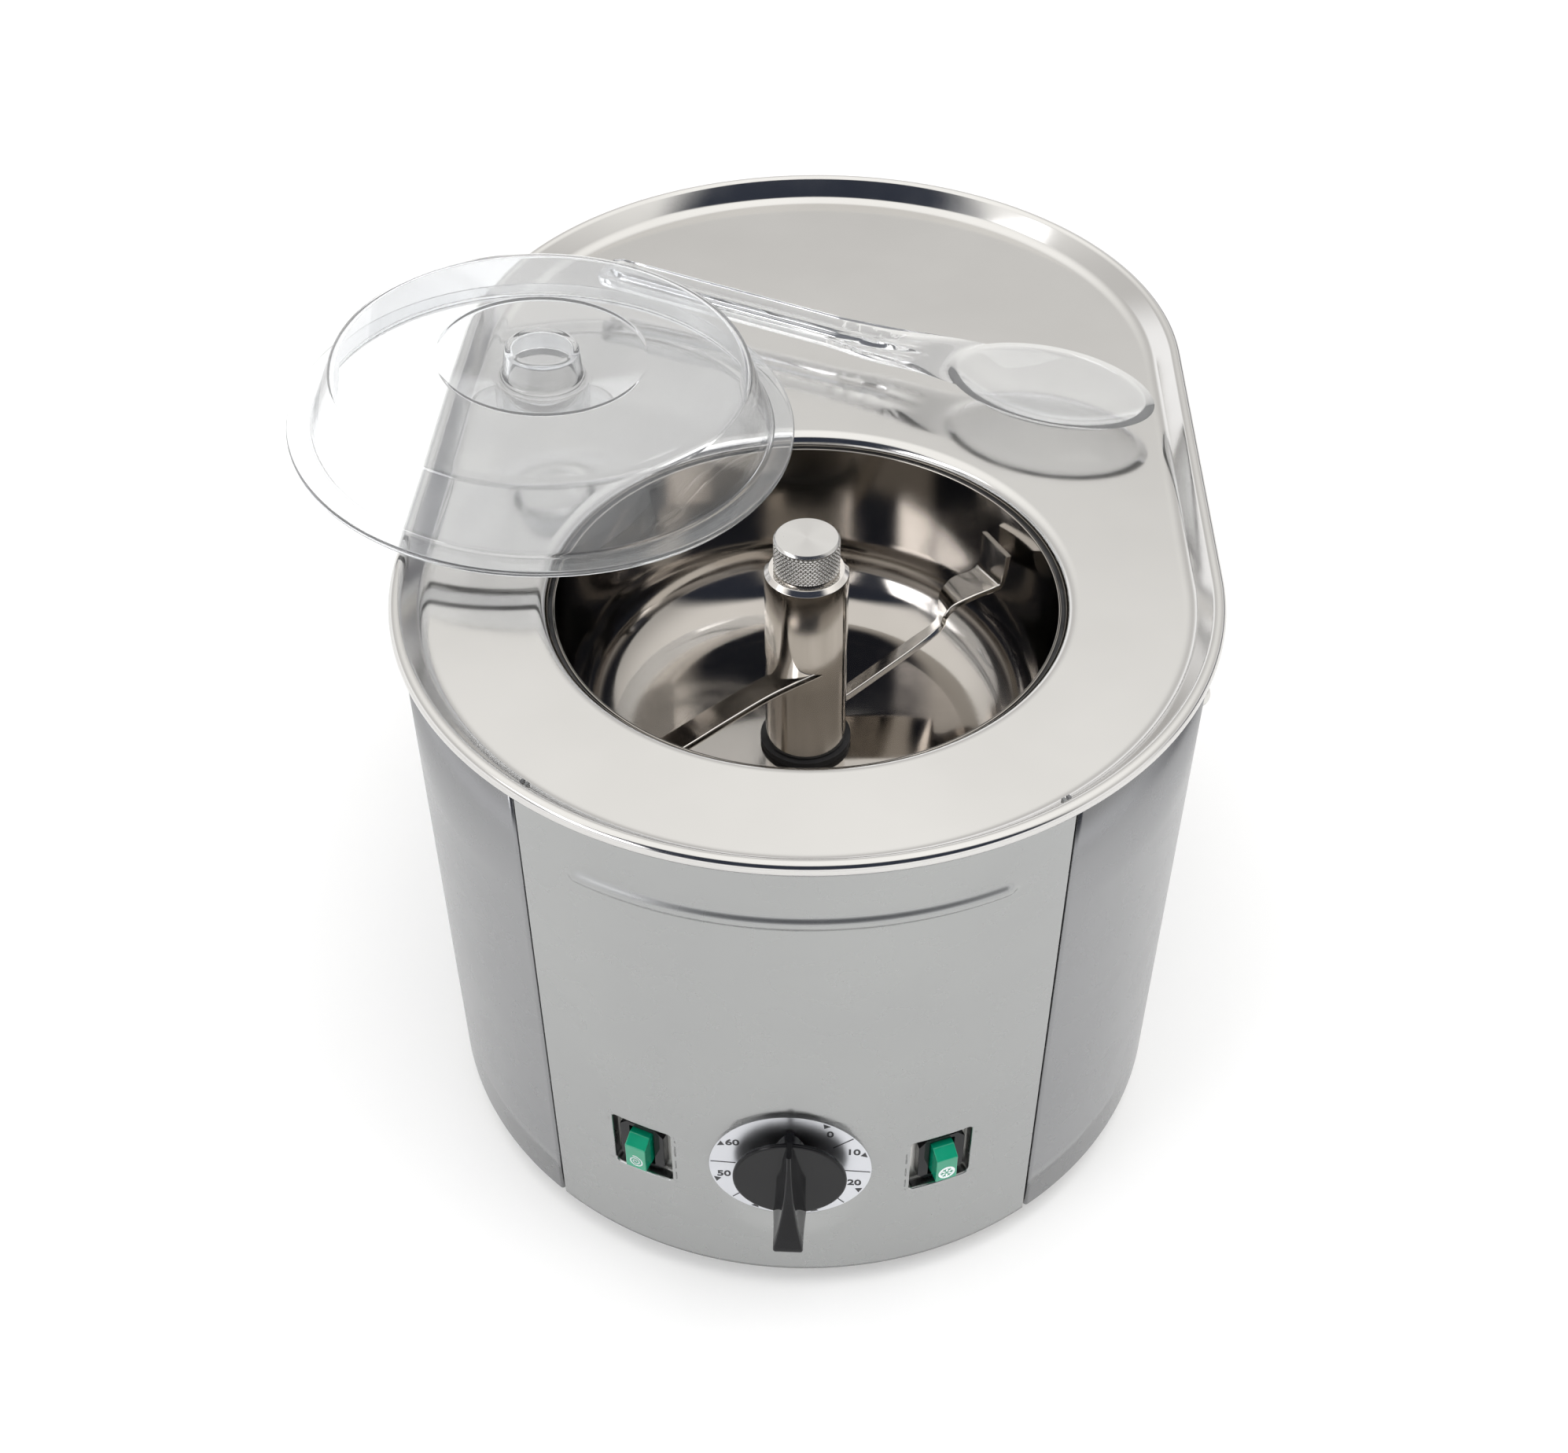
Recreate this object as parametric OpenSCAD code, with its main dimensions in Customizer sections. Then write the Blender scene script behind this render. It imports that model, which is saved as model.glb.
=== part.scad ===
// Stainless compressor ice cream maker with a fixed bowl, a lift-out dasher, a clear lid and a clear spoon.
// The origin is on the table under the middle of the body; the front is toward -Y and up is +Z.

/* [Body] */
// Width over the rolled edge of the top tray
body_w = 300; // [300:1:306]
// Length over the rolled edge of the top tray
body_l = 450; // [450:1:456]
// Height of the rolled edge above the table
body_h = 240; // [240:1:246]
// Half angle of the front panel, seam to centre
panel_half_angle = 38.2; // [36:0.2:40]
// Overhang of the rolled edge over the body wall
rim_overhang = 3; // [2:0.5:4]

/* [Top tray] */
// Depth of the tray below the rolled edge
tray_depth = 9; // [8:0.5:10]
// Diameter of the rolled edge
bead_d = 5.5; // [5:0.1:6]

/* [Bowl and dasher] */
// Inside radius of the bowl
bowl_r = 91.8; // [90:0.2:92]
// Radius of the fillet at the bottom of the bowl
bowl_fillet = 30; // [24:1:34]
// Outside radius of the dasher hub
hub_r = 15.5; // [15:0.1:16]
// Radius of the knurled knob
knob_r = 12.2; // [11:0.1:13]

/* [Controls] */
// Angle from the front centre to each switch
switch_angle = 22; // [21:0.5:24]
// Radius of the timer dial plate
dial_r = 29.7; // [28.7:0.1:29.7]
// Radius of the timer knob
timer_knob_r = 20.8; // [19:0.1:22]

/* [Accessories] */
// Radius of the lid flange
lid_r = 99.7; // [98:0.1:100]
// Length of the spoon handle behind the bowl
spoon_handle = 162; // [140:1:162]

/* [Hidden] */
$fn = 96;
R = body_w / 2;
S = (body_l - body_w) / 2;
Zr = body_h;
Zd = Zr - tray_depth;
Zb = 12.8;
Rw = R - rim_overhang;
sheet = 1.2;
wall_top = Zr - bead_d - 0.1;
floor_z = Zr - 85.5;
bowl_t = 1;
steel = "gainsboro";
dark = "#202224";
copper = "#b87348";
zinc = "silver";
clear = "#dfe8ee66";
// timer axis height and the plane of the dial face
dial_z = Zr - 166.1;
dial_y = -S - 143.2;
// switch heights
window_z = Zr - 168.1;
button_z = Zr - 170;
// drive layout
motor_x = 72;
motor_y = -2;
big_pulley_r = 52;
small_pulley_r = 14;
// refrigeration layout
comp_x = -50;
comp_y = 118;
cond_x = 118;
fan_y = 86;
fan_z = 86;
tube_z = [36, 61, 86, 111, 136];
coil_z = [168, 180, 192, 204, 216];
// lid resting on the left rim and the deck
lid_x = -107.7;
lid_y = 15.7;
lid_z = Zr - 1.5;
// spoon resting on the deck
spoon_x = 93.5;
spoon_y = 41.2;
spoon_z = Zd + 12.5;
spoon_turn = -22.9;

function arc(cx, cz, r, a0, a1, n) =
    [for (i = [0:n]) let (a = a0 + (a1 - a0) * i / n) [cx + r * cos(a), cz + r * sin(a)]];

module stadium(r) {
    for (s = [-1, 1]) translate([0, s * S]) circle(r = r, $fn = 180);
    translate([-r, -S]) square([2 * r, 2 * S]);
}

// sweeps a profile of distance from the mid-plane and height around the body outline
module sweep_stadium() {
    for (s = [-1, 1]) translate([0, s * S, 0]) rotate([0, 0, s > 0 ? 0 : 180])
        rotate_extrude(angle = 180, $fn = 180) children();
    for (m = [0, 1]) mirror([m, 0, 0]) translate([0, S, 0])
        rotate([90, 0, 0]) linear_extrude(2 * S) children();
}

module wall_shell(z0, z1) {
    difference() {
        translate([0, 0, z0]) linear_extrude(z1 - z0) stadium(Rw);
        translate([0, 0, z0 - 1]) linear_extrude(z1 - z0 + 2) stadium(Rw - sheet);
    }
}

// a wedge of the front arc, a degrees either side of the front centre line
module front_wedge(a, z0, z1) {
    translate([0, -S, z0]) linear_extrude(z1 - z0)
        polygon([[0, 0], [-260 * sin(a), -260 * cos(a)], [260 * sin(a), -260 * cos(a)]]);
}

// places children on the front arc: local x is tangent, y is up and z is outward
module radial(a, r, z) {
    translate([0, -S, 0]) rotate([0, 0, a]) translate([0, -r, z]) rotate([90, 0, 0]) children();
}

module rrect(w, h, r) {
    square([w - 2 * r, h], center = true);
    square([w, h - 2 * r], center = true);
    for (x = [-1, 1], y = [-1, 1]) translate([x * (w / 2 - r), y * (h / 2 - r)]) circle(r = r, $fn = 32);
}

module chamfer_rect(w, h, c) {
    polygon([[-w / 2 + c, -h / 2], [w / 2 - c, -h / 2], [w / 2, -h / 2 + c], [w / 2, h / 2 - c],
        [w / 2 - c, h / 2], [-w / 2 + c, h / 2], [-w / 2, h / 2 - c], [-w / 2, -h / 2 + c]]);
}

function unit(v) = v / norm(v);

function heading(p, i) = unit(p[min(i + 1, len(p) - 1)] - p[max(i - 1, 0)]);

// a side direction carried along the path without twisting
function side_at(p, i) = i == 0
    ? unit(cross(heading(p, 0), [0.3, 0.5, 0.8]))
    : let (u = side_at(p, i - 1), t = heading(p, i)) unit(u - (u * t) * t);

// a route with each inner corner turned into a bend that starts a before it
function bent(p, a) = concat([p[0]],
    [for (i = [1:len(p) - 2], k = [0:5]) let (
        s = k / 5,
        b = p[i] - a * unit(p[i] - p[i - 1]),
        c = p[i] + a * unit(p[i + 1] - p[i])
    ) (1 - s) * (1 - s) * b + 2 * s * (1 - s) * p[i] + s * s * c],
    [p[len(p) - 1]]);

// a round tube of radius r along a route, with bends that start a before each corner
module pipe(route, r, a) {
    p = bent(route, a);
    m = len(p) - 1;
    n = 10;
    polyhedron(
        points = [for (i = [0:m]) let (u = side_at(p, i), v = cross(heading(p, i), u))
            for (k = [0:n - 1]) p[i] + r * (cos(360 * k / n) * u + sin(360 * k / n) * v)],
        faces = concat(
            [[for (k = [0:n - 1]) k]],
            [[for (k = [n - 1:-1:0]) m * n + k]],
            [for (i = [0:m - 1], k = [0:n - 1]) let (j = (k + 1) % n)
                [i * n + k, (i + 1) * n + k, (i + 1) * n + j, i * n + j]]));
}

// the outline of a belt round both pulleys, g outside their rims
function belt_outline(g) =
    let (r1 = big_pulley_r + g, r2 = small_pulley_r + g, run = [motor_x, motor_y + S])
    let (f = atan2(run[1], run[0]), b = acos((r1 - r2) / norm(run)))
    concat(arc(0, -S, r1, f + b, f + 360 - b, 56), arc(motor_x, motor_y, r2, f - b, f + b, 24));

// ---------- tray, bowl and body ----------

module top_deck() {
    br = bead_d / 2;
    bend = 6;
    slope = 50;
    cx = R - 14;
    cz = Zd + bend;
    ex = cx + bend * cos(270 + slope);
    ez = cz + bend * sin(270 + slope);
    run = (Zr - 1.7 - ez) / tan(slope);
    color(steel) union() {
        sweep_stadium() translate([R - br, Zr - br]) circle(r = br, $fn = 32);
        sweep_stadium() polygon(concat(
            arc(cx, cz, bend, 270, 270 + slope, 8),
            [[ex + run, Zr - 1.7], [ex + run + sin(slope), Zr - 1.7 - cos(slope)]],
            arc(cx, cz, bend + 1, 270 + slope, 270, 8)));
        difference() {
            translate([0, 0, Zd - 1]) linear_extrude(1) stadium(cx);
            translate([0, -S, Zd - 2]) cylinder(r = 99, h = 4, $fn = 180);
        }
        translate([0, -S, 0]) rotate_extrude($fn = 180) polygon(concat(
            arc(99, Zd - 5, 5, 90, 180, 10),
            [[94, Zd - 10], [95, Zd - 10]],
            arc(99, Zd - 5, 4, 180, 90, 10)));
    }
}

module bowl() {
    c = bowl_r - bowl_fillet;
    color(steel) translate([0, -S, 0]) rotate_extrude($fn = 180) polygon(concat(
        [[13, floor_z]],
        arc(c, floor_z + bowl_fillet, bowl_fillet, 270, 360, 14),
        [[bowl_r, Zr - 13.4], [bowl_r + bowl_t, Zr - 13.4]],
        arc(c, floor_z + bowl_fillet, bowl_fillet + bowl_t, 360, 270, 14),
        [[13, floor_z - bowl_t]]));
}

module bowl_seal() {
    color(dark) translate([0, -S, Zr - 21]) difference() {
        cylinder(r = 93.95, h = 6.8, $fn = 180);
        translate([0, 0, -1]) cylinder(r = bowl_r + bowl_t + 0.05, h = 9, $fn = 180);
    }
}

module insulation() {
    color("wheat") translate([0, -S, 0]) difference() {
        translate([0, 0, 128]) cylinder(r = 122, h = Zd - 1.4 - 128, $fn = 120);
        translate([0, 0, floor_z - 1.6]) cylinder(r = 100, h = 100, $fn = 120);
        translate([0, 0, 120]) cylinder(r = 26, h = 60);
        translate([90, 0, coil_z[1]]) rotate([0, 90, 0]) cylinder(r = 1.8, h = 50, $fn = 32);
        translate([0, 90, coil_z[4]]) rotate([-90, 0, 0]) cylinder(r = 3.6, h = 50, $fn = 32);
    }
}

module evaporator_coil() {
    rc = 96.3;
    color(copper) translate([0, -S, 0]) union() {
        for (z = coil_z) translate([0, 0, z]) rotate_extrude() translate([rc, 0]) circle(r = 3, $fn = 24);
        for (i = [0:len(coil_z) - 2]) rotate([0, 0, 200 + 20 * i]) translate([rc, 0, coil_z[i]])
            cylinder(r = 2.5, h = coil_z[i + 1] - coil_z[i], $fn = 24);
    }
}

// the dished hole round the dial, as a solid grown by g
module dial_dish(g) {
    slope = 8.7 / 3.8;
    h = 7;
    translate([0, dial_y - 0.1, dial_z]) rotate([90, 0, 0])
        cylinder(r1 = dial_r + 0.1 + g, r2 = dial_r + 0.1 + g + h * slope, h = h, $fn = 120);
}

module front_panel() {
    a = panel_half_angle;
    color(steel) difference() {
        union() {
            intersection() {
                wall_shell(Zb, wall_top);
                front_wedge(a, 0, Zr);
            }
            // pressed dish for the timer dial
            intersection() {
                translate([0, -S, Zb]) cylinder(r = Rw, h = 150, $fn = 180);
                dial_dish(2.6);
            }
            // drawn-in frames of the switch windows
            intersection() {
                translate([0, -S, Zb]) cylinder(r = Rw, h = 150, $fn = 180);
                for (s = [-1, 1]) radial(s * switch_angle, Rw - 5.5, window_z)
                    linear_extrude(8) rrect(26.6, 30.4, 3.2);
            }
            // embossed bar below the rim
            translate([0, -S, Zr - 29]) rotate([0, 0, 270 - 28.4]) rotate_extrude(angle = 56.8, $fn = 180)
                polygon(arc(Rw - 1.6, 0, 3.4, -72, 72, 10));
        }
        dial_dish(0);
        translate([0, dial_y - 2, dial_z]) rotate([-90, 0, 0]) cylinder(r = dial_r + 0.1, h = 12);
        for (s = [-1, 1]) radial(s * switch_angle, Rw - 8, window_z)
            linear_extrude(14) rrect(24.2, 28, 2);
    }
}

module side_wrap() {
    a = panel_half_angle + 0.35;
    color(steel) difference() {
        wall_shell(Zb, wall_top);
        front_wedge(a, 0, Zr + 1);
        for (s = [-1, 1]) radial(s * 80.5, Rw - 10, Zr - 35.9) cylinder(r = 2.15, h = 20, $fn = 32);
        // louvre slots beside the condenser
        for (z = [40:10:140]) translate([Rw - 25, 50, z]) cube([40, 70, 4]);
        // louvre slots at the rear
        for (z = [90:10:180]) translate([-38, S + Rw - 12, z]) cube([76, 24, 4]);
        // opening for the power inlet
        translate([-14.1, S + Rw - 12, 34.9]) cube([28.2, 24, 20.2]);
    }
}

module side_screws() {
    color(zinc) for (s = [-1, 1]) radial(s * 80.5, Rw + 0.02, Zr - 35.9) rotate_extrude($fn = 48)
        polygon(concat([[0, -9], [2, -9], [2, 0], [4.3, 0]], arc(0, -3.2, 5.4, 37, 90, 8)));
}

module base_plate() {
    color(zinc) difference() {
        translate([0, 0, Zb + 0.1]) linear_extrude(1.6) stadium(Rw - sheet - 0.2);
        for (x = [-1, 1], y = [-1, 1]) translate([x * 92, y * 150, 0]) cylinder(r = 2.2, h = 30, $fn = 32);
        for (i = [0:6]) translate([100, 48 + 11 * i, 0]) cube([28, 5, 30]);
        for (i = [0:5]) translate([-30 + 12 * i, -150, 0]) cube([5, 60, 30]);
    }
}

module feet() {
    color(dark) for (x = [-1, 1], y = [-1, 1]) translate([x * 92, y * 150, 0]) difference() {
        cylinder(r1 = 11, r2 = 13.5, h = Zb + 0.1, $fn = 64);
        translate([0, 0, -1]) cylinder(r = 2.2, h = 30, $fn = 32);
        translate([0, 0, -1]) cylinder(r = 5.2, h = 6, $fn = 48);
    }
}

module foot_screws() {
    color(zinc) for (x = [-1, 1], y = [-1, 1]) translate([x * 92, y * 150, 0]) difference() {
        union() {
            translate([0, 0, 2.4]) cylinder(r = 4.6, h = 2.6, $fn = 48);
            translate([0, 0, 2.4]) cylinder(r = 2, h = 18, $fn = 32);
        }
        for (t = [0, 90]) rotate([0, 0, t]) translate([-3, -0.5, 2]) cube([6, 1, 1.6]);
    }
}

// ---------- controls ----------

module switch_brackets() {
    color(zinc) for (s = [-1, 1]) radial(s * switch_angle, Rw - 6.8, window_z) difference() {
        linear_extrude(1.2) square([34, 38], center = true);
        translate([s * 1.2, -1.4, -1]) linear_extrude(4) square([15.2, 20.2], center = true);
    }
}

module switch_housing(s) {
    color(dark) radial(s * switch_angle, Rw, window_z) translate([s * 1.2, -1.4, 0]) difference() {
        union() {
            translate([0, 0, -5.55]) linear_extrude(3.05) chamfer_rect(18, 23, 3);
            translate([0, 0, -26]) linear_extrude(20.5) square([14.8, 19.8], center = true);
        }
        translate([-4.8, -9.1, -14]) cube([9.6, 18.9, 14]);
        translate([-4, 0, -27]) cube([1.2, 6, 6]);
        translate([3, 0, -27]) cube([1.2, 6, 6]);
    }
}

module button(s) {
    w = 8.3;
    color("seagreen") radial(s * switch_angle, Rw, button_z) translate([s * 1.2 - w / 2, 0, 0])
        rotate([90, 0, 90]) linear_extrude(w)
        polygon([[-7, -10], [8, -10], [8.6, -1.2], [5.6, 3.2], [-6.8, 3.2]]);
}

module left_switch_housing() {
    switch_housing(-1);
}

module right_switch_housing() {
    switch_housing(1);
}

module left_button() {
    button(-1);
}

module right_button() {
    button(1);
}

module dial_plate() {
    color("silver") translate([0, dial_y, dial_z]) rotate([-90, 0, 0]) difference() {
        cylinder(r = dial_r, h = 1);
        translate([0, 0, -1]) cylinder(r = 5.2, h = 3, $fn = 48);
    }
}

module timer_body() {
    color("whitesmoke") translate([0, dial_y + 1.05, dial_z]) difference() {
        union() {
            translate([-21, 0, -21]) cube([42, 2, 42]);
            rotate([-90, 0, 0]) cylinder(r = 20, h = 27);
            translate([-12, 26, -6]) cube([24, 4, 12]);
        }
        translate([0, -1, 0]) rotate([-90, 0, 0]) cylinder(r = 3.1, h = 20, $fn = 48);
    }
}

module timer_shaft() {
    color(zinc) translate([0, dial_y - 5, dial_z]) rotate([-90, 0, 0]) cylinder(r = 3, h = 20, $fn = 48);
}

module timer_knob() {
    n = 10;
    color(dark) translate([0, dial_y - 0.8, dial_z]) rotate([90, 0, 0]) difference() {
        union() {
            cylinder(r = 9, h = 4.2);
            translate([0, 0, 3.4]) cylinder(r = timer_knob_r, h = 1.2);
            translate([0, 0, 4.6]) cylinder(r1 = timer_knob_r, r2 = timer_knob_r - 0.6, h = 0.6);
            difference() {
                translate([0, 0, 4]) linear_extrude(18) polygon(concat(
                    [for (i = [0:n]) let (t = i / n) [-1.1 - 5.1 * pow(t, 1.5), 20.3 - 40.8 * t]],
                    [for (i = [n:-1:0]) let (t = i / n) [1.1 + 5.1 * pow(t, 1.5), 20.3 - 40.8 * t]]));
                translate([-20, -timer_knob_r, 21.6]) rotate([-12.9, 0, 0]) cube([40, 60, 30]);
            }
        }
        translate([0, 0, -1]) cylinder(r = 3.02, h = 5.25, $fn = 48);
    }
}

// ---------- drive ----------

module bearing_housing() {
    color("darkgray") translate([0, -S, 0]) difference() {
        union() {
            translate([0, 0, 100]) cylinder(r = 24, h = floor_z - bowl_t - 100.1);
            translate([0, 0, 140]) cylinder(r = 12.9, h = floor_z - 140.1);
        }
        translate([0, 0, 99]) cylinder(r = 12.02, h = 47.1);
        translate([0, 0, 99]) cylinder(r = 8.6, h = 80);
    }
}

module bearings() {
    color("peru") for (z = [102, 131.9]) translate([0, -S, z]) difference() {
        cylinder(r = 12, h = 14);
        translate([0, 0, -1]) cylinder(r = 8.06, h = 16);
    }
}

module shaft_seal() {
    color(dark) translate([0, -S, floor_z + 0.05]) difference() {
        cylinder(r = 17.5, h = 2.6);
        translate([0, 0, -1]) cylinder(r = 8.06, h = 5);
    }
}

module drive_shaft() {
    color(steel) translate([0, -S, 0]) difference() {
        union() {
            translate([0, 0, 34]) cylinder(r = 8, h = 191);
            translate([0, 0, 225]) cylinder(r1 = 8, r2 = 7, h = 1);
            translate([0, 0, 226]) cylinder(r = 4, h = Zr + 3.6 - 226, $fn = 48);
            translate([0, 0, Zr + 3.6]) cylinder(r1 = 4, r2 = 3.4, h = 0.8, $fn = 48);
        }
        translate([-20, 0, floor_z + 11.5]) rotate([0, 90, 0]) cylinder(r = 2.5, h = 40, $fn = 48);
    }
}

module drive_pin() {
    color(zinc) translate([-11.5, -S, floor_z + 11.5]) rotate([0, 90, 0]) cylinder(r = 2.5, h = 23, $fn = 48);
}

module drive_pulley() {
    color("darkgray") translate([0, -S, 40]) difference() {
        union() {
            cylinder(r = big_pulley_r, h = 12);
            for (z = [0, 10.5]) translate([0, 0, z]) cylinder(r = big_pulley_r + 2.5, h = 1.5);
            translate([0, 0, -4]) cylinder(r = 14, h = 20);
        }
        translate([0, 0, -6]) cylinder(r = 8.02, h = 30);
        for (i = [0:4]) rotate([0, 0, 72 * i]) translate([32, 0, -1]) cylinder(r = 12, h = 14);
    }
}

module motor_pulley() {
    color("darkgray") translate([motor_x, motor_y, 40]) difference() {
        union() {
            cylinder(r = small_pulley_r, h = 12);
            for (z = [0, 10.5]) translate([0, 0, z]) cylinder(r = small_pulley_r + 2.5, h = 1.5);
        }
        translate([0, 0, -1]) cylinder(r = 5, h = 14, $fn = 48);
    }
}

module motor_shaft() {
    color(zinc) translate([motor_x, motor_y, 37]) cylinder(r = 5, h = 41, $fn = 48);
}

module drive_belt() {
    color(dark) translate([0, 0, 42]) linear_extrude(8) difference() {
        polygon(belt_outline(2.2));
        polygon(belt_outline(0.05));
    }
}

module motor_bracket() {
    color(zinc) difference() {
        union() {
            translate([34, -46, 58]) cube([76, 80, 2.5]);
            for (p = [[44, 28], [104, 28], [104, -40], [52, -34]]) translate([p[0], p[1], Zb + 1.75])
                cylinder(r = 4, h = 59 - Zb - 1.75, $fn = 32);
        }
        translate([motor_x, motor_y, 50]) cylinder(r = 12, h = 20);
    }
}

module gear_motor() {
    color("dimgray") translate([motor_x, motor_y, 60.6]) difference() {
        union() {
            cylinder(r = 33, h = 50);
            translate([0, 0, 10]) cylinder(r = 36, h = 30);
            translate([0, 0, 50]) cylinder(r1 = 30, r2 = 24, h = 8);
        }
        translate([0, 0, -1]) cylinder(r = 5.1, h = 20, $fn = 48);
        for (i = [0:7]) rotate([0, 0, 45 * i]) translate([29, 0, 52]) cube([10, 4, 20], center = true);
    }
}

// ---------- refrigeration ----------

module compressor() {
    color("#26292c") translate([comp_x, comp_y, 0]) union() {
        rotate_extrude() polygon(concat([[0, 26]], arc(44, 38, 12, 270, 360, 6),
            [[56, 92], [59, 92], [59, 97], [56, 97]], arc(36, 148, 20, 0, 90, 8), [[0, 168]]));
        difference() {
            translate([-60, -34, 22]) cube([120, 68, 4.2]);
            for (x = [-1, 1], y = [-1, 1]) translate([x * 51, y * 26, 20]) cylinder(r = 5, h = 10, $fn = 32);
        }
    }
}

module compressor_grommets() {
    color(dark) translate([comp_x, comp_y, Zb + 1.75]) for (x = [-1, 1], y = [-1, 1])
        translate([x * 51, y * 26, 0]) difference() {
            union() {
                cylinder(r = 8, h = 7.4, $fn = 48);
                cylinder(r = 4.9, h = 13, $fn = 48);
            }
            translate([0, 0, -1]) cylinder(r = 2.5, h = 20, $fn = 32);
        }
}

module terminal_cover() {
    color("whitesmoke") translate([comp_x - 20, comp_y - 76, 58]) difference() {
        cube([40, 19.9, 52]);
        translate([2, 2, 2]) cube([36, 30, 48]);
    }
}

module condenser_fins() {
    color("silver") for (i = [0:19]) translate([cond_x - 10, 48 + 4 * i, 26]) difference() {
        cube([20, 0.6, 120]);
        for (z = tube_z) translate([10, -1, z - 26]) rotate([-90, 0, 0]) cylinder(r = 3.55, h = 3, $fn = 32);
    }
}

module condenser_tubes() {
    color(copper) translate([cond_x, 0, 0]) union() {
        for (z = tube_z) translate([0, 42, z]) rotate([-90, 0, 0]) cylinder(r = 3.5, h = 88, $fn = 32);
        for (i = [0:3]) translate([0, i % 2 == 0 ? 130 : 42, tube_z[i] + 12.5])
            rotate([0, 90, 0]) rotate([0, 0, i % 2 == 0 ? 0 : 180])
            rotate_extrude(angle = 180, $fn = 48) translate([12.5, 0]) circle(r = 3.5, $fn = 32);
    }
}

module fan_shroud() {
    color("dimgray") union() {
        difference() {
            translate([102, fan_y - 42, fan_z - 56]) cube([2.5, 84, 112]);
            translate([100, fan_y, fan_z]) rotate([0, 90, 0]) cylinder(r = 41.5, h = 8);
        }
        difference() {
            translate([62, fan_y, fan_z]) rotate([0, 90, 0]) cylinder(r = 21, h = 10);
            translate([61, fan_y, fan_z]) rotate([0, 90, 0]) cylinder(r = 18.1, h = 12);
        }
        for (a = [90, 210, 330]) translate([65, fan_y, fan_z]) rotate([a, 0, 0]) {
            translate([0, 43, -2]) cube([38, 4, 4]);
            translate([0, 19, -2]) cube([4, 26, 4]);
        }
    }
}

module fan_motor() {
    color("dimgray") translate([54, fan_y, fan_z]) rotate([0, 90, 0]) difference() {
        cylinder(r = 18, h = 26);
        translate([0, 0, 12]) cylinder(r = 2.1, h = 20, $fn = 32);
    }
}

module fan_blades() {
    color("dimgray") translate([0, fan_y, fan_z]) union() {
        translate([70, 0, 0]) rotate([0, 90, 0]) cylinder(r = 2, h = 18, $fn = 32);
        translate([83, 0, 0]) rotate([0, 90, 0]) cylinder(r = 9, h = 14, $fn = 48);
        for (i = [0:4]) rotate([72 * i, 0, 0]) translate([90, 0, 22.5]) rotate([0, 0, 32])
            cube([1.2, 18, 31], center = true);
    }
}

module drier() {
    color(copper) translate([cond_x, 41.9, 36]) rotate([90, 0, 0]) rotate_extrude($fn = 48)
        polygon([[0, 0], [3, 0], [3, 3], [9, 9], [9, 52], [3, 58], [3, 61], [0, 61]]);
}

module discharge_line() {
    color(copper) pipe([[comp_x + 56.2, comp_y, 130], [28, comp_y, 130], [44, 140, 136],
        [cond_x, 140, 136], [cond_x, 130.2, 136]], 3, 7);
}

module capillary_line() {
    color(copper) pipe([[cond_x, -19.2, 36], [cond_x + 4, -40, 40], [132, -S, 60],
        [132, -S, coil_z[1]], [99.4, -S, coil_z[1]]], 1.4, 10);
}

module suction_line() {
    color(copper) pipe([[0, -S + 99.6, coil_z[4]], [0, 68, coil_z[4]], [0, 68, 120],
        [comp_x + 39.7, comp_y - 39.7, 120]], 3, 7);
}

module power_inlet() {
    color(dark) translate([0, S + Rw, 45]) difference() {
        union() {
            translate([-14, -26, -10]) cube([28, 28, 20]);
            translate([-17, 0.2, -13]) cube([34, 2.6, 26]);
        }
        translate([-11, -14, -7]) cube([22, 20, 14]);
        for (p = [[-7, 0], [0, 2.5], [7, 0]]) translate([p[0], -20, p[1]]) cube([4.02, 16, 2.02], center = true);
    }
}

module inlet_pins() {
    color(zinc) for (p = [[-7, 0], [0, 2.5], [7, 0]]) translate([p[0], S + Rw - 17, 45 + p[1]])
        cube([4, 20, 2], center = true);
}

// ---------- dasher ----------

module dasher_hub() {
    top = Zr - 1.4;
    color(steel) translate([0, -S, 0]) difference() {
        union() {
            translate([0, 0, floor_z + 3]) cylinder(r = hub_r, h = top - 2 - floor_z - 3);
            translate([0, 0, top - 2]) cylinder(r1 = hub_r, r2 = hub_r - 1.8, h = 2);
        }
        translate([0, 0, floor_z]) cylinder(r = 8.06, h = 227.5 - floor_z);
        translate([0, 0, 220]) cylinder(r = 4.2, h = 40, $fn = 48);
        translate([-12.2, -2.7, floor_z]) cube([24.4, 5.4, 14.4]);
    }
}

// a bent strip along stations of radius, height, twist and lean; one edge is at side e and it is w wide
module ribbon(route, e, w) {
    m = len(route) - 1;
    function corner(i, across, up) = let (
        a = route[i][3],
        t = route[i][2],
        y = across * w * cos(t) - up * sign(w) * sin(t),
        z = across * w * sin(t) + up * sign(w) * cos(t)
    ) [route[i][0] - z * sin(a), e + y, route[i][1] + z * cos(a)];
    polyhedron(
        points = [for (i = [0:m], c = [[0, -1.1], [1, -1.1], [1, 1.1], [0, 1.1]]) corner(i, c[0], c[1])],
        faces = concat(
            [[0, 1, 2, 3]],
            [[4 * m + 3, 4 * m + 2, 4 * m + 1, 4 * m]],
            [for (i = [0:m - 1], k = [0:3], half = [0, 1]) let (j = (k + 1) % 4)
                half == 0 ? [4 * i + k, 4 * i + 4 + k, 4 * i + 4 + j] : [4 * i + k, 4 * i + 4 + j, 4 * i + j]]));
}

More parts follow.
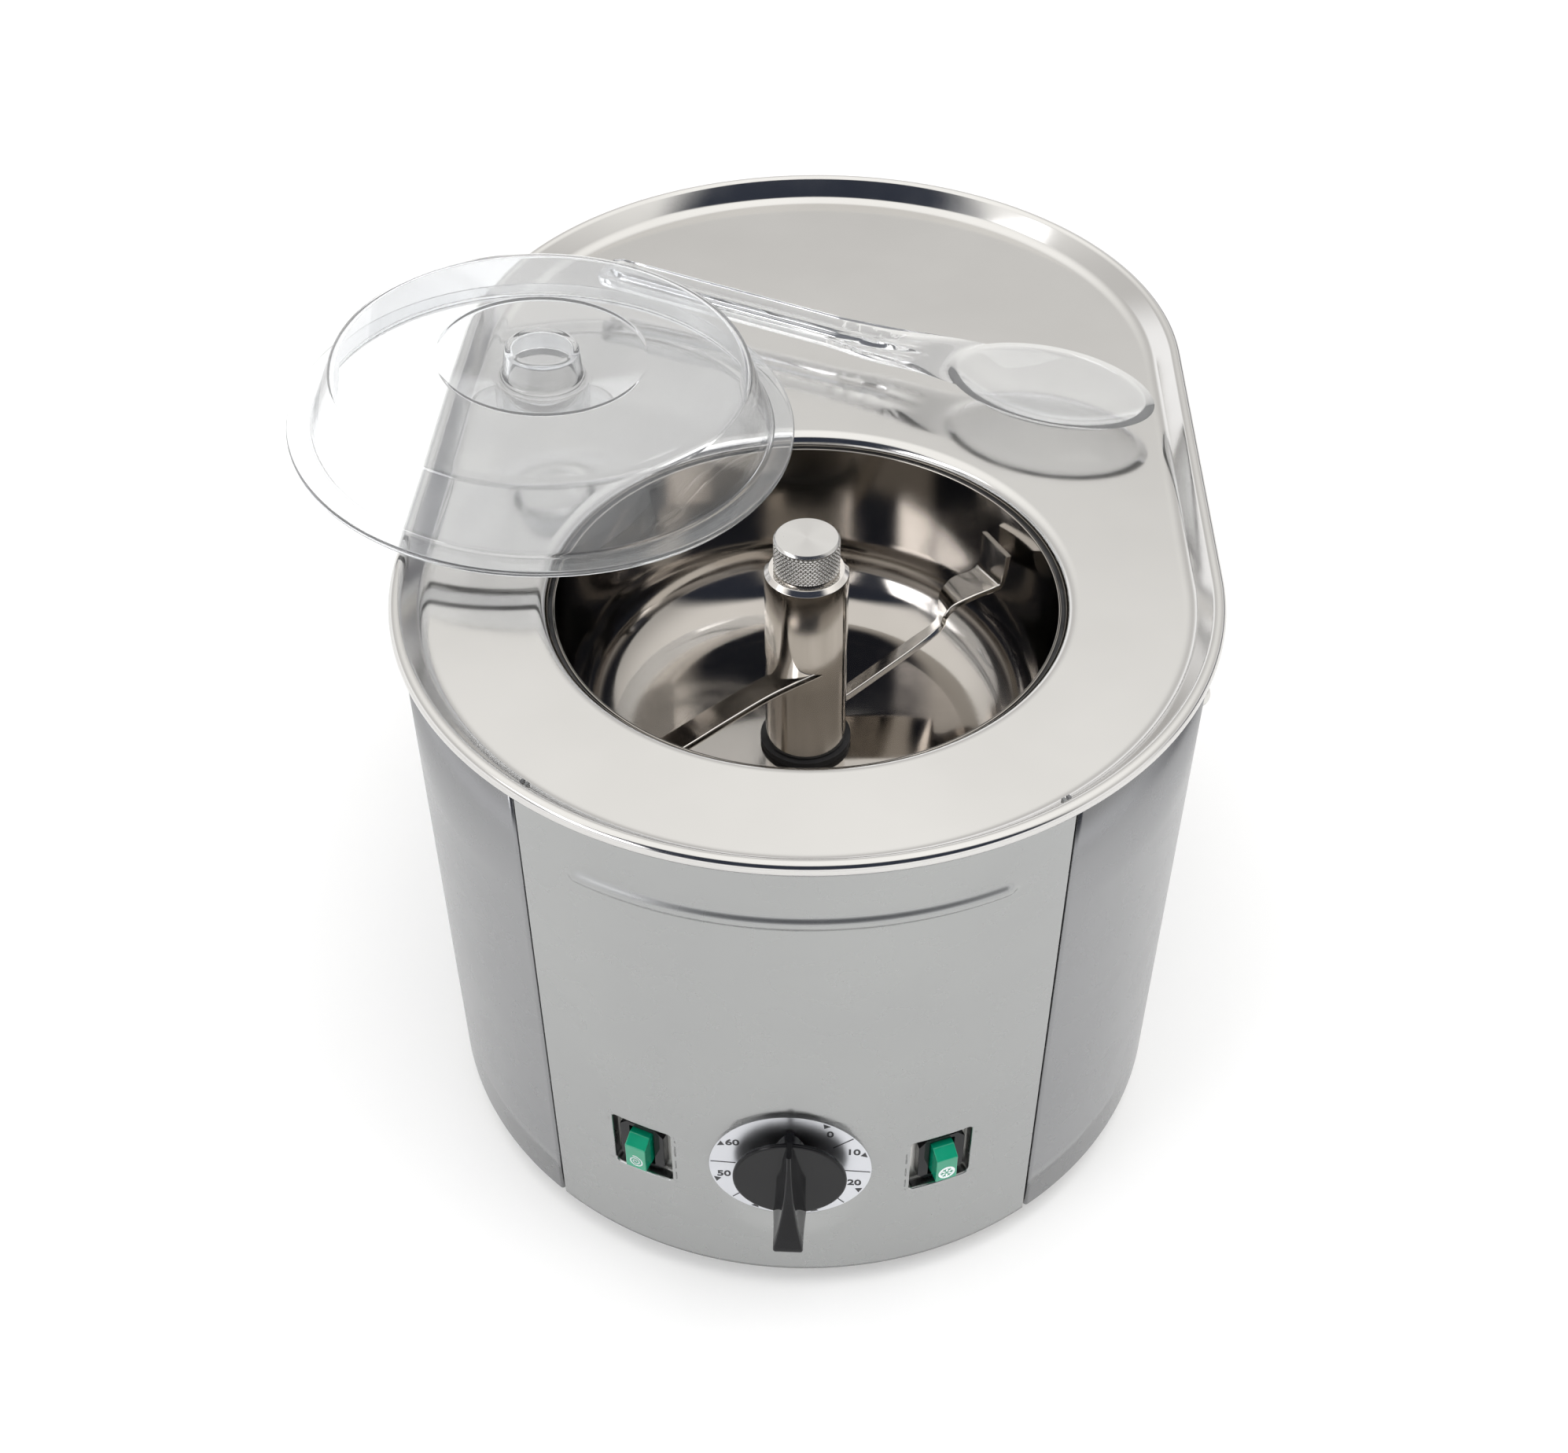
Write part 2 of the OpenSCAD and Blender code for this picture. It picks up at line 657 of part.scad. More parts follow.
module dasher_left_arm() {
    color(steel) translate([0, -S, 0]) difference() {
        rotate([0, 0, 210]) ribbon([[1.6, 200.1, 23, -8], [21.2, 197.4, 23, -12], [39, 192.4, 23, -17],
            [55.1, 187.2, 23, -18], [77, 180.5, 23, -18]], 15.3, -18);
        translate([0, 0, 100]) cylinder(r = hub_r, h = 200);
    }
}

module dasher_right_arm() {
    color(steel) translate([0, -S, 0]) difference() {
        rotate([0, 0, 30]) ribbon([[11, 169.6, -38, 20], [17.5, 171.6, -38, 20], [31.2, 177.3, -38, 24],
            [46.7, 184, -38, 30], [57, 189.9, -41, 35], [59.5, 194.9, -38, 33], [63.5, 198.4, -26, 26],
            [72.3, 199.8, -12, 10], [81.2, 200.4, -12, 10], [84.6, 202.2, -4, 45], [86.4, 214.6, 0, 80]], -3, 18);
        translate([0, 0, 100]) cylinder(r = hub_r, h = 200);
    }
}

module dasher_knob() {
    z0 = Zr - 1.35;
    z1 = Zr + 12.4;
    color(steel) translate([0, -S, 0]) difference() {
        union() {
            translate([0, 0, z0]) cylinder(r = knob_r, h = z1 - 0.9 - z0);
            translate([0, 0, z1 - 0.9]) cylinder(r1 = knob_r, r2 = knob_r - 0.9, h = 0.9);
        }
        translate([0, 0, z0 - 1]) cylinder(r = 4.06, h = 8, $fn = 48);
    }
}

// ---------- lid and spoon ----------

module lid() {
    color(clear) translate([lid_x, lid_y, lid_z]) rotate([0.39, 3.7, 0]) rotate_extrude($fn = 180)
        polygon(concat(
            [[lid_r - 10.9, 0], [lid_r, 0], [lid_r, 2.6], [lid_r - 7.8, 2.6], [lid_r - 9, 3.8]],
            arc(77, 23.5, 5, 15, 85, 6),
            [[41, 31]],
            [[18.5, 22.3], [15.8, 21.9], [14.3, 33]],
            arc(13.1, 33, 1.2, 20, 90, 4),
            [[0, 34.2], [0, 31.8], [12, 31.8], [13.4, 19.4], [19.2, 19.6], [41.2, 28.4]],
            arc(77, 23.5, 2.6, 85, 15, 5)));
}

// a spindle about the spoon's long axis
module spoon_shell(rr) {
    translate([0, 0, 26.7]) rotate([0, -90, 0]) rotate_extrude($fn = 120)
        intersection() {
            translate([-44.3, 0]) circle(r = rr, $fn = 180);
            translate([0, -60]) square([60, 120]);
        }
}

module spoon() {
    hl = spoon_handle;
    color(clear) translate([spoon_x, spoon_y, spoon_z]) rotate([0, 1.25, spoon_turn]) difference() {
        union() {
            intersection() {
                spoon_shell(83);
                translate([-60, -60, -40]) cube([120, 120, 40]);
            }
            translate([0, 0, -6]) linear_extrude(6) polygon([[-34, 17], [-42, 12.5], [-56, 9.4], [-80, 8.6],
                [-38 - hl, 9.2], [-41 - hl, 7], [-41 - hl, -7], [-38 - hl, -9.2], [-80, -8.6],
                [-56, -9.4], [-42, -12.5], [-34, -17]]);
        }
        intersection() {
            spoon_shell(80.8);
            translate([-60, -60, -40]) cube([120, 120, 50]);
        }
        // channels along the handle
        for (y = [-1, 1]) translate([-34 - hl, y * 4.1 - 2.4, -4]) cube([hl - 22, 4.8, 5]);
    }
}

top_deck();
bowl();
bowl_seal();
insulation();
evaporator_coil();
front_panel();
side_wrap();
side_screws();
base_plate();
feet();
foot_screws();
switch_brackets();
left_switch_housing();
right_switch_housing();
dial_plate();
timer_body();
bearing_housing();
bearings();
shaft_seal();
motor_bracket();
gear_motor();
drive_belt();
compressor();
compressor_grommets();
terminal_cover();
condenser_fins();
condenser_tubes();
fan_shroud();
fan_motor();
drier();
discharge_line();
capillary_line();
suction_line();
power_inlet();
inlet_pins();
drive_shaft();
drive_pin();
drive_pulley();
motor_shaft();
motor_pulley();
dasher_hub();
dasher_left_arm();
dasher_right_arm();
dasher_knob();
timer_shaft();
timer_knob();
left_button();
right_button();
fan_blades();
lid();
spoon();
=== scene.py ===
"""Looks of the ice cream maker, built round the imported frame. Lengths are in millimetres unless said."""

import math

import bmesh
import bpy
from mathutils import Matrix, Vector

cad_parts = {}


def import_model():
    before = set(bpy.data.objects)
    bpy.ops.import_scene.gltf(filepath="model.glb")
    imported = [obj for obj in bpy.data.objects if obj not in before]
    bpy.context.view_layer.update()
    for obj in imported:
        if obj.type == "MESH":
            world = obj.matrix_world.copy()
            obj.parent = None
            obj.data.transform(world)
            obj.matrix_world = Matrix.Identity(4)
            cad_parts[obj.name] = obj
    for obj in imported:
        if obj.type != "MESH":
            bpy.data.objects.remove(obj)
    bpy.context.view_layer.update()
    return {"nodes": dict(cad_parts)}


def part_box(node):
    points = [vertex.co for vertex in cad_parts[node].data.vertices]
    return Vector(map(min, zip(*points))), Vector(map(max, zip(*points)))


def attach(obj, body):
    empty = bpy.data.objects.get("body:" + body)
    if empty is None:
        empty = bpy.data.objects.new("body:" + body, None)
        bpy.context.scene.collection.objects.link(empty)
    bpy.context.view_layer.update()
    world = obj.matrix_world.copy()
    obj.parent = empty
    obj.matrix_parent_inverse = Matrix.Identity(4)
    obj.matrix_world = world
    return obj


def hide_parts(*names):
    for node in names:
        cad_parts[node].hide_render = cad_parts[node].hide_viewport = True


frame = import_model()
NODES = frame["nodes"]
MM = 0.001


def box_mm(node):
    lo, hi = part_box(node)
    return lo / MM, hi / MM


# ---------- sizes taken from the frame ----------

deck_hi = box_mm("top_deck")[1]
RIM_R = deck_hi.x
ARC_Y = deck_hi.y - deck_hi.x
RIM_Z = deck_hi.z
DECK_Z = RIM_Z - 9
DECK_EDGE_R = RIM_R - 14  # where the flat of the deck turns into its rolled edge
wrap_lo, wrap_hi = box_mm("side_wrap")
WALL_R = wrap_hi.x
WALL_LOW = wrap_lo.z
WALL_TOP = wrap_hi.z
SHEET = 1.2
bowl_lo, bowl_hi = box_mm("bowl")
BOWL_R = bowl_hi.x - 1
BOWL_FLOOR = bowl_lo.z + 1
BOWL_TOP = bowl_hi.z
dial_lo, dial_hi = box_mm("dial_plate")
DIAL_R = dial_hi.x
DIAL_Z = (dial_lo.z + dial_hi.z) / 2
DIAL_Y = dial_lo.y
knob_lo, knob_hi = box_mm("dasher_knob")
hub_lo, hub_hi = box_mm("dasher_hub")
SEAM = math.radians(38.2)
SWITCH_ANGLE = math.radians(22)
WINDOW_Z = RIM_Z - 168.1
BUTTON_Z = RIM_Z - 170
LID_PLACE = Vector((-107.7, 15.7, RIM_Z - 1.5))
LID_TILT = (math.radians(0.39), math.radians(3.7), 0)
SPOON_PLACE = Vector((93.5, 41.2, DECK_Z + 12.5))
SPOON_TILT = (0, math.radians(1.25), math.radians(-22.9))


# ---------- mesh helpers ----------


def piece(name, verts, faces, body, slot, material, replaces=(), sharp=None, matrix=None):
    """A finished piece from points. sharp is the angle in degrees over which edges stay crisp."""
    mesh = bpy.data.meshes.new(name)
    place = Matrix.Scale(MM, 4) @ (matrix or Matrix.Identity(4))
    mesh.from_pydata([place @ Vector(v) for v in verts], [], faces)
    bm = bmesh.new()
    bm.from_mesh(mesh)
    bmesh.ops.remove_doubles(bm, verts=bm.verts, dist=2e-7)
    bmesh.ops.dissolve_degenerate(bm, edges=bm.edges, dist=1e-8)
    bmesh.ops.recalc_face_normals(bm, faces=bm.faces)
    bm.to_mesh(mesh)
    bm.free()
    mesh.polygons.foreach_set("use_smooth", [True] * len(mesh.polygons))
    if sharp is not None:
        mesh.set_sharp_from_angle(angle=math.radians(sharp))
    obj = bpy.data.objects.new(name, mesh)
    bpy.context.scene.collection.objects.link(obj)
    mesh.materials.append(material)
    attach(obj, body)
    if replaces:
        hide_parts(*replaces)
    return obj


def grid_faces(rows, cols, wrap_rows=False, wrap_cols=False, skip=None):
    faces = []
    for i in range(rows if wrap_rows else rows - 1):
        for j in range(cols if wrap_cols else cols - 1):
            if skip and skip(i, j):
                continue
            a, b = i * cols, ((i + 1) % rows) * cols
            k = (j + 1) % cols
            faces.append((a + j, a + k, b + k, b + j))
    return faces


def arc(cx, cz, r, a0, a1, n):
    steps = [math.radians(a0 + (a1 - a0) * i / n) for i in range(n + 1)]
    return [(cx + r * math.cos(a), cz + r * math.sin(a)) for a in steps]


def rounded(corners, closed=False, steps=6, pad=0.25):
    """A line through (x, z, radius) corners with true arcs and a support point either side of each arc."""
    points = []
    count = len(corners)
    for i, (x, z, r) in enumerate(corners):
        p = Vector((x, z))
        if r == 0 or (not closed and i in (0, count - 1)):
            points.append((x, z))
            continue
        u = (Vector(corners[i - 1][:2]) - p).normalized()
        v = (Vector(corners[(i + 1) % count][:2]) - p).normalized()
        half = u.angle(v) / 2
        reach = r / math.tan(half)
        centre = p + (u + v).normalized() * (r / math.sin(half))
        d0 = p + u * reach - centre
        d1 = p + v * reach - centre
        turn = math.atan2(d0.x * d1.y - d0.y * d1.x, d0.dot(d1))
        start = math.atan2(d0.y, d0.x)
        points.append(tuple(p + u * (reach + pad)))
        for k in range(steps + 1):
            a = start + turn * k / steps
            points.append((centre.x + r * math.cos(a), centre.y + r * math.sin(a)))
        points.append(tuple(p + v * (reach + pad)))
    return points


def revolve(profile, segments, closed=False):
    """Turns (r, z) points about Z. Points on the axis merge later."""
    verts = []
    for i in range(segments):
        a = 2 * math.pi * i / segments
        verts += [(r * math.cos(a), r * math.sin(a), z) for r, z in profile]
    return verts, grid_faces(segments, len(profile), wrap_rows=True, wrap_cols=closed)


def extrude(outline, z0, z1):
    n = len(outline)
    verts = [(x, y, z) for z in (z0, z1) for x, y in outline]
    faces = [tuple(range(n - 1, -1, -1)), tuple(range(n, 2 * n))]
    faces += [(i, (i + 1) % n, n + (i + 1) % n, n + i) for i in range(n)]
    return verts, faces


def join(*parts):
    verts, faces = [], []
    for v, f in parts:
        base = len(verts)
        verts += v
        faces += [tuple(base + i for i in face) for face in f]
    return verts, faces


def bevel(obj, width, segments=3):
    mod = obj.modifiers.new("bevel", "BEVEL")
    mod.width = width * MM
    mod.segments = segments
    mod.limit_method = "ANGLE"
    mod.angle_limit = math.radians(30)
    mod.harden_normals = True


def solidify(obj, thickness):
    mod = obj.modifiers.new("sheet", "SOLIDIFY")
    mod.thickness = thickness * MM
    mod.offset = -1


def at(x, y, z=0):
    return Matrix.Translation((x, y, z))


BOWL_AXIS = at(0, -ARC_Y)
FACING_FRONT = Matrix.Rotation(math.radians(90), 4, "X")


def on_front(angle, r, z):
    """Places local x along the wall, y up and z outward at an angle of the front arc."""
    turn = Matrix.Rotation(angle, 4, "Z")
    return at(0, -ARC_Y) @ turn @ at(0, -r, z) @ FACING_FRONT


# ---------- materials ----------


class Mat:
    """A Principled material with noise-driven colour, roughness and bump in the object's own coordinates."""

    def __init__(self, name, **sockets):
        self.mat = bpy.data.materials.new(name)
        self.mat.use_nodes = True
        self.tree = self.mat.node_tree
        self.bsdf = self.tree.nodes["Principled BSDF"]
        for key, value in sockets.items():
            self.bsdf.inputs[key.replace("_", " ")].default_value = value
        self.normal = None

    def node(self, kind, **props):
        n = self.tree.nodes.new(kind)
        for key, value in props.items():
            setattr(n, key, value)
        return n

    def link(self, a, b):
        self.tree.links.new(a, b)

    def noise(self, scale, stretch=(1, 1, 1), detail=4.0, distort=0.0):
        coord = self.node("ShaderNodeTexCoord")
        mapping = self.node("ShaderNodeMapping")
        mapping.inputs["Scale"].default_value = stretch
        self.link(coord.outputs["Object"], mapping.inputs["Vector"])
        n = self.node("ShaderNodeTexNoise")
        n.inputs["Scale"].default_value = scale
        n.inputs["Detail"].default_value = detail
        n.inputs["Distortion"].default_value = distort
        self.link(mapping.outputs["Vector"], n.inputs["Vector"])
        return n.outputs["Fac"]

    def ranged(self, value, low, high, a=0.3, b=0.7):
        m = self.node("ShaderNodeMapRange")
        m.inputs["From Min"].default_value = a
        m.inputs["From Max"].default_value = b
        m.inputs["To Min"].default_value = low
        m.inputs["To Max"].default_value = high
        self.link(value, m.inputs["Value"])
        return m.outputs["Result"]

    def roughness(self, low, high, scale, stretch=(1, 1, 1)):
        value = self.noise(scale, stretch)
        self.link(self.ranged(value, low, high), self.bsdf.inputs["Roughness"])
        return self

    def colours(self, first, second, scale, stretch=(1, 1, 1), distort=0.0):
        mix = self.node("ShaderNodeMix", data_type="RGBA")
        value = self.noise(scale, stretch, 3.0, distort)
        self.link(self.ranged(value, 0, 1, 0.35, 0.65), mix.inputs["Factor"])
        mix.inputs[6].default_value = (*first, 1)
        mix.inputs[7].default_value = (*second, 1)
        self.link(mix.outputs[2], self.bsdf.inputs["Base Color"])
        return self

    def bump(self, scale, height, stretch=(1, 1, 1), detail=4.0):
        """height is the relief in millimetres."""
        b = self.node("ShaderNodeBump")
        b.inputs["Strength"].default_value = 1.0
        b.inputs["Distance"].default_value = height * MM
        self.link(self.noise(scale, stretch, detail), b.inputs["Height"])
        if self.normal:
            self.link(self.normal, b.inputs["Normal"])
        self.normal = b.outputs["Normal"]
        self.link(self.normal, self.bsdf.inputs["Normal"])
        return self


def metal(name, first, second, low, high, grain=600, waves=0.0, stretch=(1, 1, 1), **sockets):
    m = Mat(name, Metallic=1.0, **sockets)
    m.colours(first, second, 14)
    m.roughness(low, high, 60, stretch)
    if waves:
        m.bump(9, waves, detail=1.0)
    m.bump(grain, 0.004, stretch)
    return m.mat


def plastic(name, first, second, low, high, grain=900, relief=0.01, **sockets):
    m = Mat(name, **sockets)
    m.colours(first, second, 40)
    m.roughness(low, high, 120)
    m.bump(grain, relief)
    return m.mat


SATIN_GRAIN = 2600
DECK_STEEL = metal("deck_steel", (0.60, 0.59, 0.575), (0.63, 0.62, 0.605), 0.10, 0.15, waves=0.10)
BOWL_STEEL = metal("bowl_steel", (0.38, 0.358, 0.33), (0.43, 0.405, 0.378), 0.07, 0.12, waves=0.05)
BODY_STEEL = metal(
    "body_steel", (0.36, 0.364, 0.362), (0.375, 0.38, 0.376), 0.26, 0.285, grain=SATIN_GRAIN, waves=0.03,
)
# The side wrap is the same sheet steel as the front panel. Its darker base colour is painted shade for the
# sides, which get less light.
WRAP_STEEL_PAINTED_SHADE = metal(
    "wrap_steel_painted_shade", (0.27, 0.272, 0.278), (0.285, 0.287, 0.292), 0.26, 0.285, grain=SATIN_GRAIN, waves=0.03,
)
DASHER_STEEL = metal("dasher_steel", (0.70, 0.67, 0.635), (0.76, 0.73, 0.695), 0.09, 0.14, waves=0.03)
KNOB_STEEL = metal("knob_steel", (0.56, 0.55, 0.53), (0.62, 0.61, 0.59), 0.20, 0.28)
PLATED_STEEL = metal("plated_steel", (0.55, 0.55, 0.53), (0.66, 0.65, 0.62), 0.28, 0.42, grain=300)
CAST_GREY = metal("cast_alloy", (0.36, 0.36, 0.37), (0.46, 0.46, 0.47), 0.42, 0.6, grain=450)
COPPER = metal("copper_tube", (0.72, 0.36, 0.22), (0.80, 0.46, 0.30), 0.22, 0.40, grain=200)
BRONZE = metal("bronze_bush", (0.55, 0.37, 0.18), (0.66, 0.46, 0.24), 0.30, 0.45)
FIN_ALUMINIUM = metal("fin_aluminium", (0.70, 0.71, 0.72), (0.78, 0.79, 0.80), 0.30, 0.42)
BLACK_RUBBER = plastic("black_rubber", (0.012, 0.012, 0.013), (0.03, 0.03, 0.032), 0.5, 0.75, relief=0.03)
GLOSS_BLACK = plastic("gloss_black", (0.004, 0.004, 0.005), (0.008, 0.008, 0.009), 0.06, 0.11, relief=0.002,
                      Specular_IOR_Level=0.22)
DARK_PLASTIC = plastic("dark_plastic", (0.03, 0.032, 0.035), (0.06, 0.062, 0.066), 0.35, 0.5)
WHITE_PLASTIC = plastic("white_plastic", (0.72, 0.72, 0.69), (0.80, 0.80, 0.78), 0.35, 0.5)
FOAM = plastic("foam_insulation", (0.72, 0.60, 0.38), (0.82, 0.72, 0.50), 0.8, 0.95, grain=250, relief=0.4)
COMPRESSOR_BLACK = plastic(
    "compressor_paint", (0.010, 0.011, 0.012), (0.02, 0.021, 0.023), 0.28, 0.4, relief=0.02,
)
MOTOR_GREY = plastic(
    "motor_paint", (0.10, 0.105, 0.11), (0.15, 0.155, 0.16), 0.35, 0.5, grain=500, relief=0.03,
)
INK = plastic("dial_ink", (0.012, 0.012, 0.014), (0.025, 0.025, 0.028), 0.35, 0.45)
WHITE_INK = plastic("white_ink", (0.84, 0.88, 0.90), (0.90, 0.93, 0.94), 0.4, 0.5)
DIAL_SILVER = metal("dial_silver", (0.62, 0.63, 0.66), (0.68, 0.69, 0.72), 0.30, 0.36, grain=900)
GREEN_LENS = plastic(
    "green_lens", (0.0, 0.36, 0.19), (0.005, 0.44, 0.25), 0.08, 0.16, relief=0.004,
    Transmission_Weight=0.25, IOR=1.5, Coat_Weight=0.4,
)
CLEAR = plastic(
    "clear_plastic", (0.94, 0.95, 0.965), (0.96, 0.97, 0.98), 0.0, 0.03, relief=0.002,
    Transmission_Weight=0.93, IOR=1.5,
)

NODE_LOOKS = {
    PLATED_STEEL: "side_screws base_plate foot_screws switch_brackets motor_bracket inlet_pins drive_pin"
    " motor_shaft timer_shaft",
    BLACK_RUBBER: "bowl_seal feet shaft_seal drive_belt compressor_grommets",
    FOAM: "insulation",
    COPPER: "evaporator_coil condenser_tubes drier discharge_line capillary_line suction_line",
    WHITE_PLASTIC: "timer_body terminal_cover",
    CAST_GREY: "bearing_housing drive_pulley motor_pulley",
    BRONZE: "bearings",
    MOTOR_GREY: "gear_motor",
    COMPRESSOR_BLACK: "compressor",
    FIN_ALUMINIUM: "condenser_fins",
    DARK_PLASTIC: "fan_shroud fan_motor power_inlet fan_blades",
    DASHER_STEEL: "drive_shaft",
    DIAL_SILVER: "dial_plate",
}
for look, names in NODE_LOOKS.items():
    for name in names.split():
        NODES[name].data.materials.clear()
        NODES[name].data.materials.append(look)


# ---------- top tray: lip, deck, slope and rolled edge as one sheet ----------


def tray_ray(a):
    """Where a ray from the bowl's axis meets the edge of the flat deck, and the outline's normal there."""
    flat = DECK_EDGE_R
    u = Vector((math.sin(a), -math.cos(a)))
    centre = Vector((0, -ARC_Y))
    if u.y <= 0:
        return centre + u * flat, u
    side = flat / abs(u.x) if abs(u.x) > 1e-9 else 1e9
    if centre.y + u.y * side <= ARC_Y:
        return centre + u * side, Vector((math.copysign(1, u.x), 0))
    to_back = centre - Vector((0, ARC_Y))
    b = u.dot(to_back)
    t = -b + math.sqrt(b * b - to_back.dot(to_back) + flat * flat)
    hit = centre + u * t
    return hit, (hit - Vector((0, ARC_Y))) / flat


def top_tray():
    flat = DECK_EDGE_R
    bend, bead = 6, 2.75
    low = Vector((flat, DECK_Z + bend))
    high = Vector((RIM_R - bead, RIM_Z - bead))
    run = high - low
    slope = math.degrees(math.atan2(run.y, run.x) + math.asin((bend + bead) / run.length))
    lip = [(94, DECK_Z - 10), (94, DECK_Z - 7)] + arc(99, DECK_Z - 5, 5, 180, 90, 10) + [(99.5, DECK_Z)]
    edge = [(flat - 0.6, DECK_Z)] + arc(*low, bend, -90, slope - 90, 10)
    edge += arc(*high, bead, 90 + slope, -150, 22)
    under = arc(*low, bend + 1, slope - 90, -90, 6)
    lip_under = [(99, DECK_Z - 1)] + arc(99, DECK_Z - 5, 4, 90, 180, 6) + [(95, DECK_Z - 10)]
    verts = []
    rays = 540
    centre = Vector((0, -ARC_Y))
    for i in range(rays):
        a = 2 * math.pi * i / rays
        u = Vector((math.sin(a), -math.cos(a)))
        base, n = tray_ray(a)
        for r, z in lip:
            verts.append((*(centre + u * r), z))
        for d, z in edge + under:
            verts.append((*(base + n * (d - flat)), z))
        for r, z in lip_under:
            verts.append((*(centre + u * r), z))
    cols = len(lip) + len(edge) + len(under) + len(lip_under)
    faces = grid_faces(rays, cols, wrap_rows=True, wrap_cols=True)
    piece("top_tray", verts, faces, "housing", "tray_steel", DECK_STEEL, ["top_deck"])


def freezing_bowl():
    profile = rounded(
        [
            (13, BOWL_FLOOR, 0),
            (BOWL_R, BOWL_FLOOR, 30),
            (BOWL_R, BOWL_TOP, 0.4),
            (BOWL_R + 1, BOWL_TOP, 0.4),
            (BOWL_R + 1, BOWL_FLOOR - 1, 31),
            (13, BOWL_FLOOR - 1, 0),
        ],
        steps=18,
    )
    verts, faces = revolve(profile, 256, closed=True)
    piece("freezing_bowl", verts, faces, "housing", "bowl_steel", BOWL_STEEL, ["bowl"], 40, BOWL_AXIS)


# ---------- body: front panel with its pressings, and the side wrap ----------


def outline(u):
    """Point and outward normal of the wall at a distance u along it from the front centre, +X first."""
    quarter = WALL_R * math.pi / 2
    side = 2 * ARC_Y
    half = 2 * quarter + side
    mirrored = u > half
    if mirrored:
        u = 2 * half - u
    if u <= quarter:
        a = u / WALL_R
        n = Vector((math.sin(a), -math.cos(a)))
        p = Vector((0, -ARC_Y)) + n * WALL_R
    elif u <= quarter + side:
        n = Vector((1, 0))
        p = Vector((WALL_R, -ARC_Y + u - quarter))
    else:
        a = (u - quarter - side) / WALL_R
        n = Vector((math.cos(a), math.sin(a)))
        p = Vector((0, ARC_Y)) + n * WALL_R
    if mirrored:
        p.x, n.x = -p.x, -n.x
    return p, n


def spread(low, high, step):
    n = max(1, round((high - low) / step))
    return [low + (high - low) * i / n for i in range(n)]


def lines(marks):
    """Grid lines from (start, step) pairs: each stretch uses its own step, and the last mark only ends it."""
    out = []
    for (a, step), (b, _) in zip(marks, marks[1:]):
        out += spread(a, b, step)
    return out + [marks[-1][0]]


BAR_Z = RIM_Z - 29
BAR_END = math.radians(28.4) * WALL_R
DIAL_HALF_W = 41.4
DIAL_HALF_H = 44
WINDOW_S = SWITCH_ANGLE * WALL_R
WINDOW_HALF_W = WINDOW_S - DIAL_HALF_W
WINDOW_HALF_H = 20


def panel_point(s, z, depth=0.0):
    """A point of the front panel: the round wall, the pressed bar and the dish round the dial."""
    a = s / WALL_R
    over = math.hypot(max(abs(s) - BAR_END, 0), z - BAR_Z)
    if over < 4:
        depth -= 0.95 * (1 + math.cos(math.pi * over / 4))
    x = (WALL_R - depth) * math.sin(a)
    y = -ARC_Y - (WALL_R - depth) * math.cos(a)
    r = math.hypot(x, z - DIAL_Z)
    if abs(s) <= DIAL_HALF_W and r < DIAL_HALF_H:
        dish = DIAL_Y - (r - DIAL_R) * 0.44
        soft = 1.3
        gap = max(soft - abs(y - dish), 0) / soft
        y = max(y, dish) + gap * gap * soft / 4
    return (x, y, z)


def ring_patch(border, core, radius, rings):
    """Fills between a border loop and a rounded hole. rings are (distance from the hole, depth)."""
    verts = []
    for s, z in border:
        cs = max(-core[0], min(core[0], s - core[2])) + core[2]
        cz = max(-core[1], min(core[1], z - core[3])) + core[3]
        out = Vector((s - cs, z - cz))
        n = out.normalized()
        for distance, depth in rings:
            reach = radius + (distance if distance < 2.5 else (out.length - radius) * distance / 10)
            verts.append(panel_point(cs + n.x * reach, cz + n.y * reach, depth))
    return verts, grid_faces(len(border), len(rings), wrap_rows=True)


def loop_of(columns, heights):
    """The border points of a rectangle of grid lines, in order."""
    out = [(s, heights[0]) for s in columns[:-1]]
    out += [(columns[-1], z) for z in heights[:-1]]
    out += [(s, heights[-1]) for s in reversed(columns[1:])]
    out += [(columns[0], z) for z in reversed(heights[1:])]
    return out


def folded(edge, toward, turn_r, depth):
    """Columns (s, depth) that turn a sheet's edge inward. toward is +1 when the edge faces +s."""
    out = [(edge - toward * (turn_r + 0.4), 0)]
    for k in range(6):
        a = math.pi / 2 * k / 5
        out.append((edge - toward * turn_r * (1 - math.sin(a)), turn_r * (1 - math.cos(a))))
    return out + [(edge, turn_r + 0.5), (edge, depth)]


